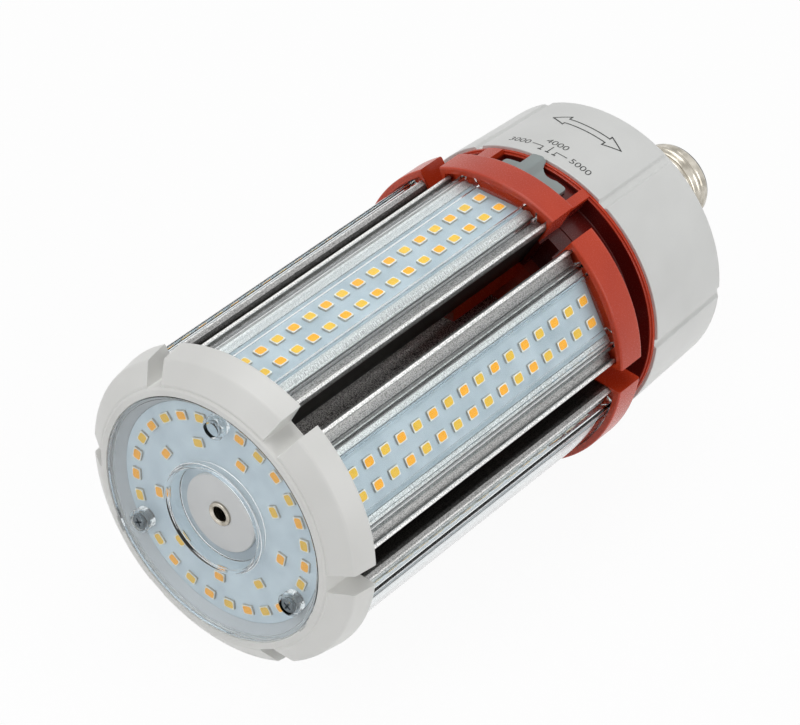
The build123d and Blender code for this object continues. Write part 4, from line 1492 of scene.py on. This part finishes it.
@dataclass
class DriverHousing:
    """White moulded housing with six valleys, a shoulder and a neck, and its printed marks."""

    front_radius: float = 43.3
    rear_radius: float = 42.0
    valley_half: float = 1.75
    valley_floor: float = 0.75
    depth_front: float = 1.1
    depth_rear: float = 0.8
    outer_wall: float = 39.5
    neck: float = 16.8
    neck_wall: float = 1.8
    seat: float = 11.65
    seat_bore: float = 9.95
    seat_length: float = 15.7
    span: float = 1.5
    coarse_turn: float = 1.0
    fine_turn: float = 0.25
    fine_reach: float = 3.0
    ink_lift: float = 0.035
    ink_span: float = 0.6
    mark_radius: float = 43.0
    mark_origin: float = -23.5
    number_size: float = 3.3
    number_width: float = 1.12

    def make(self) -> None:
        """Build the housing and print its marks."""
        self.moulding()
        self.marks()

    def radius_at(self, x: float) -> float:
        """Radius of the drafted wall at a place along the axis."""
        share = (x - AT.housing_front) / (AT.shoulder - AT.housing_front)
        return self.front_radius + (self.rear_radius - self.front_radius) * share

    def moulding(self) -> None:
        """Build the shell with its valleys sunk in the outer wall."""
        section, turns = self.section(), self.turns()
        half = AT.side_turn / 2
        points = [
            spot(x, 0, radius - self.sink(x, radius, abs((turn % AT.side_turn) - half)), turn)
            for turn in turns for x, radius in section
        ]
        item = built("housing_moulding", points, wheel_faces(len(turns), len(section)))
        seated(smoothed(item, 40), HOUSING_WHITE, ["driver_housing", "base_neck"])

    def section(self) -> list[Point]:
        """Section of the shell and its neck, with the long runs of the outer wall cut in short spans."""
        front, end, seat = AT.housing_front, AT.shoulder, AT.shell_start
        inside, tip = self.neck - self.neck_wall, seat + self.seat_length
        outline = rounded([
            (front, 41.5), (front, self.front_radius, 0.3), (end, self.rear_radius, 0.5),
            (end + 1.7, 40.2, 1.4), (end + 8.5, self.neck + 0.6, 1.2), (end + 9.2, self.neck, 0.8),
            (seat, self.neck, 0.7), (seat, self.seat), (tip, self.seat, 0.3), (tip, self.seat_bore),
            (seat - 2, self.seat_bore), (seat - 3, inside), (end + 8.5, inside), (end, 39.2),
            (end - 1.5, 40.2),
        ], 5)
        points: list[Point] = []
        for (x0, r0), (x1, r1) in zip(outline, [*outline[1:], outline[0]]):
            spans = max(1, int(math.hypot(x1 - x0, r1 - r0) / self.span)) if min(r0, r1) > 38 else 1
            points += [(x0 + (x1 - x0) * k / spans, r0 + (r1 - r0) * k / spans) for k in range(spans)]
        return points

    def turns(self) -> list[float]:
        """Angles of the steps round the axis, finer across each valley."""
        half = AT.side_turn / 2
        edge = half - self.fine_reach
        plain = [self.coarse_turn * k for k in range(round(edge / self.coarse_turn))]
        fine = [edge + self.fine_turn * k for k in range(round(2 * self.fine_reach / self.fine_turn))]
        steps = [*plain, *fine, *(half + self.fine_reach + turn for turn in plain)]
        return [side + step for side in AT.sides_at() for step in steps]

    def sink(self, x: float, radius: float, off: float) -> float:
        """Depth of a valley at a point of the wall.

        Args:
            x: Place along the axis.
            radius: The wall's radius there.
            off: Angle from the valley's middle, in degrees.

        Returns:
            How far the wall is sunk, in millimetres.
        """
        if radius < self.outer_wall or x > AT.shoulder + 3 or radius < self.radius_at(x) - 1.3:
            return 0.0
        share = (x - AT.housing_front) / (AT.shoulder - AT.housing_front)
        depth = self.depth_front + (self.depth_rear - self.depth_front) * share
        floor = self.radius_at(x) - depth
        reach = math.radians(off) * radius
        ramp = (self.valley_half - reach) / (self.valley_half - self.valley_floor)
        ramp = min(max(ramp, 0.0), 1.0)
        return max(0.0, (radius - floor)) * ramp * ramp * (3 - 2 * ramp)

    def wrapped(self, name: str, flat: bpy.types.Object, angle: float, x: float) -> bpy.types.Object:
        """Wrap a flat shape round the housing.

        Args:
            name: Name of the piece.
            flat: Shape in millimetres, X round the axis and Y towards the base; it is used up.
            angle: Where its origin goes round the axis, in degrees.
            x: Where its origin goes along the axis.

        Returns:
            The wrapped piece.
        """
        mesh = flat.data
        for vertex in mesh.vertices:
            place = x + vertex.co.y
            radius = self.radius_at(place)
            turn = angle + math.degrees(vertex.co.x / radius)
            vertex.co = spot(place, 0, radius + self.ink_lift + vertex.co.z, turn)
        flat.name = name
        mesh.name = name
        return flat

    def stroke(self, path: Sequence[Point], width: float, closed: bool = False) -> bpy.types.Object:
        """Draw a flat line of a width along a path.

        Args:
            path: Points, angle in degrees and place along the axis, from a mark's origin.
            width: Width of the line, in millimetres.
            closed: Whether the line returns to its start.

        Returns:
            The flat line, cut fine enough to be wrapped.
        """
        points = [Vector((math.radians(a) * self.mark_radius, s)) for a, s in path]
        pairs = list(zip(points, points[1:]))
        if closed:
            pairs.append((points[-1], points[0]))
        work = bmesh.new()
        for first, last in pairs:
            along = (last - first).normalized()
            side = Vector((-along.y, along.x)) * width / 2
            first, last = first - along * width / 2, last + along * width / 2
            spans = max(1, int((last - first).length / self.ink_span))
            rows = []
            for k in range(spans + 1):
                middle = first.lerp(last, k / spans)
                rows.append([work.verts.new((*point, 0)) for point in (middle + side, middle - side)])
            for one, two in zip(rows, rows[1:]):
                work.faces.new((one[0], one[1], two[1], two[0]))
        bmesh.ops.recalc_face_normals(work, faces=work.faces)
        mesh = bpy.data.meshes.new("stroke")
        work.to_mesh(mesh)
        work.free()
        return linked("stroke", mesh)

    def number(self, text: str) -> bpy.types.Object:
        """Write a plain number flat, in millimetres."""
        curve = bpy.data.curves.new("number", "FONT")
        curve.body = text
        curve.size = self.number_size
        curve.align_x = "CENTER"
        curve.align_y = "CENTER"
        curve.offset = -0.01
        written = bpy.data.objects.new("number", curve)
        bpy.context.scene.collection.objects.link(written)
        graph = bpy.context.evaluated_depsgraph_get()
        graph.update()
        mesh = bpy.data.meshes.new_from_object(written.evaluated_get(graph))
        bpy.data.objects.remove(written)
        mesh.transform(Matrix.Scale(self.number_width, 4, Vector((1, 0, 0))))
        return linked("number", mesh)

    def marks(self) -> None:
        """Print the three colour temperatures, their ticks and a double arrow."""
        zero = AT.housing_front + self.mark_origin
        thin, thick = 0.32, 0.5
        numbers = (("3000", -15.0, 28.6), ("4000", -0.9, 32.0), ("5000", 13.2, 28.4))
        lines = (
            ([(-9.0, 28.7), (-4.2, 28.7), (-4.2, 26.9)], thin),
            ([(-0.8, 30.0), (-0.8, 26.9)], thin),
            ([(2.2, 26.9), (2.2, 28.4), (6.8, 28.4)], thin),
            *(([(angle - 0.5, 26.8), (angle + 0.5, 26.8)], thick) for angle in (-4.2, -0.8, 2.2)),
        )
        arrow = [
            (-15.6, 44.8), (-9.0, 47.4), (-9.0, 45.9), (10.2, 45.4), (10.2, 46.6), (17.0, 44.0),
            (10.2, 41.5), (10.2, 43.0), (-9.0, 43.4), (-9.0, 42.4),
        ]
        flats = [
            *((self.number(text), angle, zero + along) for text, angle, along in numbers),
            *((self.stroke(path, width), 0.0, zero) for path, width in lines),
            (self.stroke(arrow, 0.42, True), 0.0, zero),
        ]
        parts = [self.wrapped(f"mark_{k}", *flat) for k, flat in enumerate(flats)]
        seated(joined("printed_marks", parts), INK)


@dataclass
class ScrewBase:
    """Nickel-plated E26 shell with its rolled helical thread, dark insulator and centre contact."""

    crest: float = 13.15
    root: float = 12.2
    wall: float = 0.45
    pitch: float = 3.629
    turns: float = 5.0
    setback: float = 0.3
    run_out: float = 2.0
    crest_shape: float = 0.85
    lip_depth: float = 0.35
    lip_length: float = 1.2
    around: int = 160
    along: int = 170

    def make(self) -> None:
        """Build the shell, the insulator and the contact."""
        around, along = self.around, self.along
        start, end = AT.shell_start, AT.shell_end
        points = []
        for wall in (0.0, self.wall):
            for row in range(along + 1):
                x = start + (end - start) * row / along
                for step in range(around):
                    turn = 360.0 * step / around
                    points.append(spot(x, 0, self.radius_at(x, turn) - wall, turn))
        size, top = (along + 1) * around, along * around
        faces = []
        for row in range(along):
            for step in range(around):
                a, b = row * around + step, row * around + (step + 1) % around
                faces.append([a, b, b + around, a + around])
                faces.append([size + a + around, size + b + around, size + b, size + a])
        for step in range(around):
            far = (step + 1) % around
            faces.append([step, size + step, size + far, far])
            faces.append([top + step, top + far, size + top + far, size + top + step])
        shell = built("thread_shell", points, faces)
        seated(smoothed(shell, 50), NICKEL, ["screw_shell"])
        self.tip()

    def radius_at(self, x: float, turn: float) -> float:
        """Radius of the rolled sheet at a place along the axis and an angle in degrees.

        Args:
            x: Place along the axis.
            turn: Angle round it.

        Returns:
            The outer radius, with the thread run out at both ends and the end drawn in to a lip.
        """
        start, end = AT.shell_start, AT.shell_end
        length = self.turns * self.pitch
        first = start + (end - start - length) / 2 - self.setback
        phase = ((x - first) / self.pitch + turn / 360.0) % 1.0
        wave = 0.5 - 0.5 * math.cos(2 * math.pi * phase)
        rise = min(max((x - first) / self.run_out, 0.0), 1.0)
        fall = min(max((first + length + 1.0 - x) / self.run_out, 0.0), 1.0)
        lip = self.lip_depth * max(0.0, (x - (end - self.lip_length)) / self.lip_length) ** 2
        return self.root - lip + (self.crest - self.root) * wave**self.crest_shape * rise * fall

    def tip(self) -> None:
        """Build the insulator and the soldered contact."""
        end, seat = AT.shell_end, AT.shell_end + 4.0
        cone = lathe("insulator_cone", rounded([
            (end - 6.2, 2.0), (end - 6.2, 11.4), (end + 0.05, 11.4), (end + 0.05, 11.7, 0.2),
            (end + 0.7, 11.5, 0.4), (seat - 0.8, 6.6, 0.8), (seat, 5.6, 0.3), (seat, 2.0),
        ]), 160)
        seated(smoothed(cone), BASE_BLACK, ["base_insulator"])
        contact = lathe("contact_button", rounded([
            (seat - 5, 0.0), (seat - 5, 1.9), (seat + 0.02, 1.9), (seat + 0.02, 5.2, 0.15),
            (seat + 0.6, 5.2, 0.3), (seat + 1.2, 4.0, 0.6), (seat + 1.9, 2.8, 0.6), (seat + 2.5, 1.8, 0.5),
            (seat + 2.7, 0.0),
        ]), 96)
        seated(smoothed(contact), BRASS, ["centre_contact"])


class Driver:
    """The sealed electronics, which keep their solids."""

    def make(self, frame: dict[str, Any]) -> None:
        """Dress the board and what stands on it."""
        dressed(frame, "driver_board", FIBRE_GREEN)
        dressed(frame, "driver_transformer", FERRITE_GREY)
        dressed(frame, "driver_capacitors", DUCT)


@dataclass
class Studio:
    """Pale floor and backdrop, soft lamps and the camera at the photograph's angle."""

    fill: float = 0.2
    floor_glow: float = 0.95
    floor_half: float = 4.0
    aim: tuple[float, float, float] = (0.0, 0.0, 0.05)
    lens: float = 159.82
    place: tuple[float, float, float] = (-0.63969, -0.46680, 0.63645)
    right: tuple[float, float, float] = (0.62588541, -0.77928602, 0.03131696)
    up: tuple[float, float, float] = (0.45621569, 0.3983877, 0.79571005)

    def make(self) -> None:
        """Set the floor, the lamps, the world and the camera."""
        self.floor()
        self.world()
        self.lamps()
        self.camera()

    def floor(self) -> None:
        """Lay a white floor that keeps the lamp's soft shadow."""
        half = self.floor_half
        corners = [(-half, -half, 0), (half, -half, 0), (half, half, 0), (-half, half, 0)]
        mesh = bpy.data.meshes.new("floor")
        mesh.from_pydata(corners, [], [(0, 1, 2, 3)])
        floor = linked("floor", mesh)
        material = bpy.data.materials.new("FloorPaper")
        material.use_nodes = True
        tree = material.node_tree
        tree.nodes.clear()
        paper = add_node(tree, "ShaderNodeBsdfDiffuse", {"Color": linear("#FFFFFF")})
        white = add_node(tree, "ShaderNodeEmission", {"Strength": 1.0})
        seen = self.background_rays(tree)
        share = add_node(tree, "ShaderNodeMath", {0: seen, 1: self.floor_glow}, operation="MULTIPLY")
        mix = add_node(
            tree, "ShaderNodeMixShader",
            {0: share.outputs[0], 1: paper.outputs[0], 2: white.outputs[0]},
        )
        add_node(tree, "ShaderNodeOutputMaterial", {"Surface": mix.outputs[0]})
        floor.data.materials.append(material)

    def background_rays(self, tree: bpy.types.NodeTree) -> bpy.types.NodeSocket:
        """Tell the rays that should meet a white background: from the camera, metal and glass."""
        path = add_node(tree, "ShaderNodeLightPath")
        seen = path.outputs["Is Camera Ray"]
        for kind in ("Is Glossy Ray", "Is Transmission Ray"):
            both = add_node(tree, "ShaderNodeMath", {0: seen, 1: path.outputs[kind]}, operation="MAXIMUM")
            seen = both.outputs[0]
        return seen

    def world(self) -> None:
        """Make the surroundings white to the eye and dimmer as a light."""
        world = bpy.data.worlds.new("Studio")
        bpy.context.scene.world = world
        world.use_nodes = True
        tree = world.node_tree
        tree.nodes.clear()
        seen = self.background_rays(tree)
        strength = add_node(
            tree, "ShaderNodeMapRange", {"Value": seen, "To Min": self.fill, "To Max": 1.0}
        )
        back = add_node(
            tree, "ShaderNodeBackground", {"Color": linear("#FFFFFF"), "Strength": strength.outputs[0]}
        )
        add_node(tree, "ShaderNodeOutputWorld", {"Surface": back.outputs[0]})

    def lamps(self) -> None:
        """Hang a large soft box above and one at each side."""
        boxes = (
            ("softbox_top", (0.1, 0.15, 1.2), 0.9, 5.9),
            ("softbox_left", (-1.1, 0.3, 0.6), 0.8, 3.6),
            ("softbox_right", (0.2, -1.2, 0.5), 0.8, 4.6),
        )
        for name, place, size, power in boxes:
            light = bpy.data.lights.new(name, "AREA")
            light.shape = "SQUARE"
            light.size = size
            light.energy = power
            lamp = bpy.data.objects.new(name, light)
            lamp.location = place
            lamp.rotation_euler = (Vector(self.aim) - Vector(place)).to_track_quat("-Z", "Y").to_euler()
            bpy.context.scene.collection.objects.link(lamp)

    def camera(self) -> None:
        """Set the camera where the photograph was taken from."""
        data = bpy.data.cameras.new("Camera")
        data.lens = self.lens
        data.sensor_width = 36.0
        data.sensor_fit = "HORIZONTAL"
        data.clip_start = 0.05
        data.clip_end = 20.0
        camera = bpy.data.objects.new("Camera", data)
        right, up = Vector(self.right).normalized(), Vector(self.up).normalized()
        axes = Matrix((right, up, right.cross(up))).transposed().to_4x4()
        axes.translation = Vector(self.place)
        camera.matrix_world = axes
        bpy.context.scene.collection.objects.link(camera)
        bpy.context.scene.camera = camera


def main() -> None:
    """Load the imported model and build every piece."""
    logging.basicConfig(level=logging.INFO, format="%(name)s: %(message)s")
    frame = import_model()
    bpy.context.scene.view_settings.view_transform = "Standard"
    EndCap().make()
    EndWindow().make(frame)
    SidePanels().make(frame)
    BaseCarrier().make()
    ColourSwitch().make(frame)
    DriverHousing().make()
    ScrewBase().make()
    Driver().make(frame)
    Studio().make()


if __name__ == "__main__":
    main()
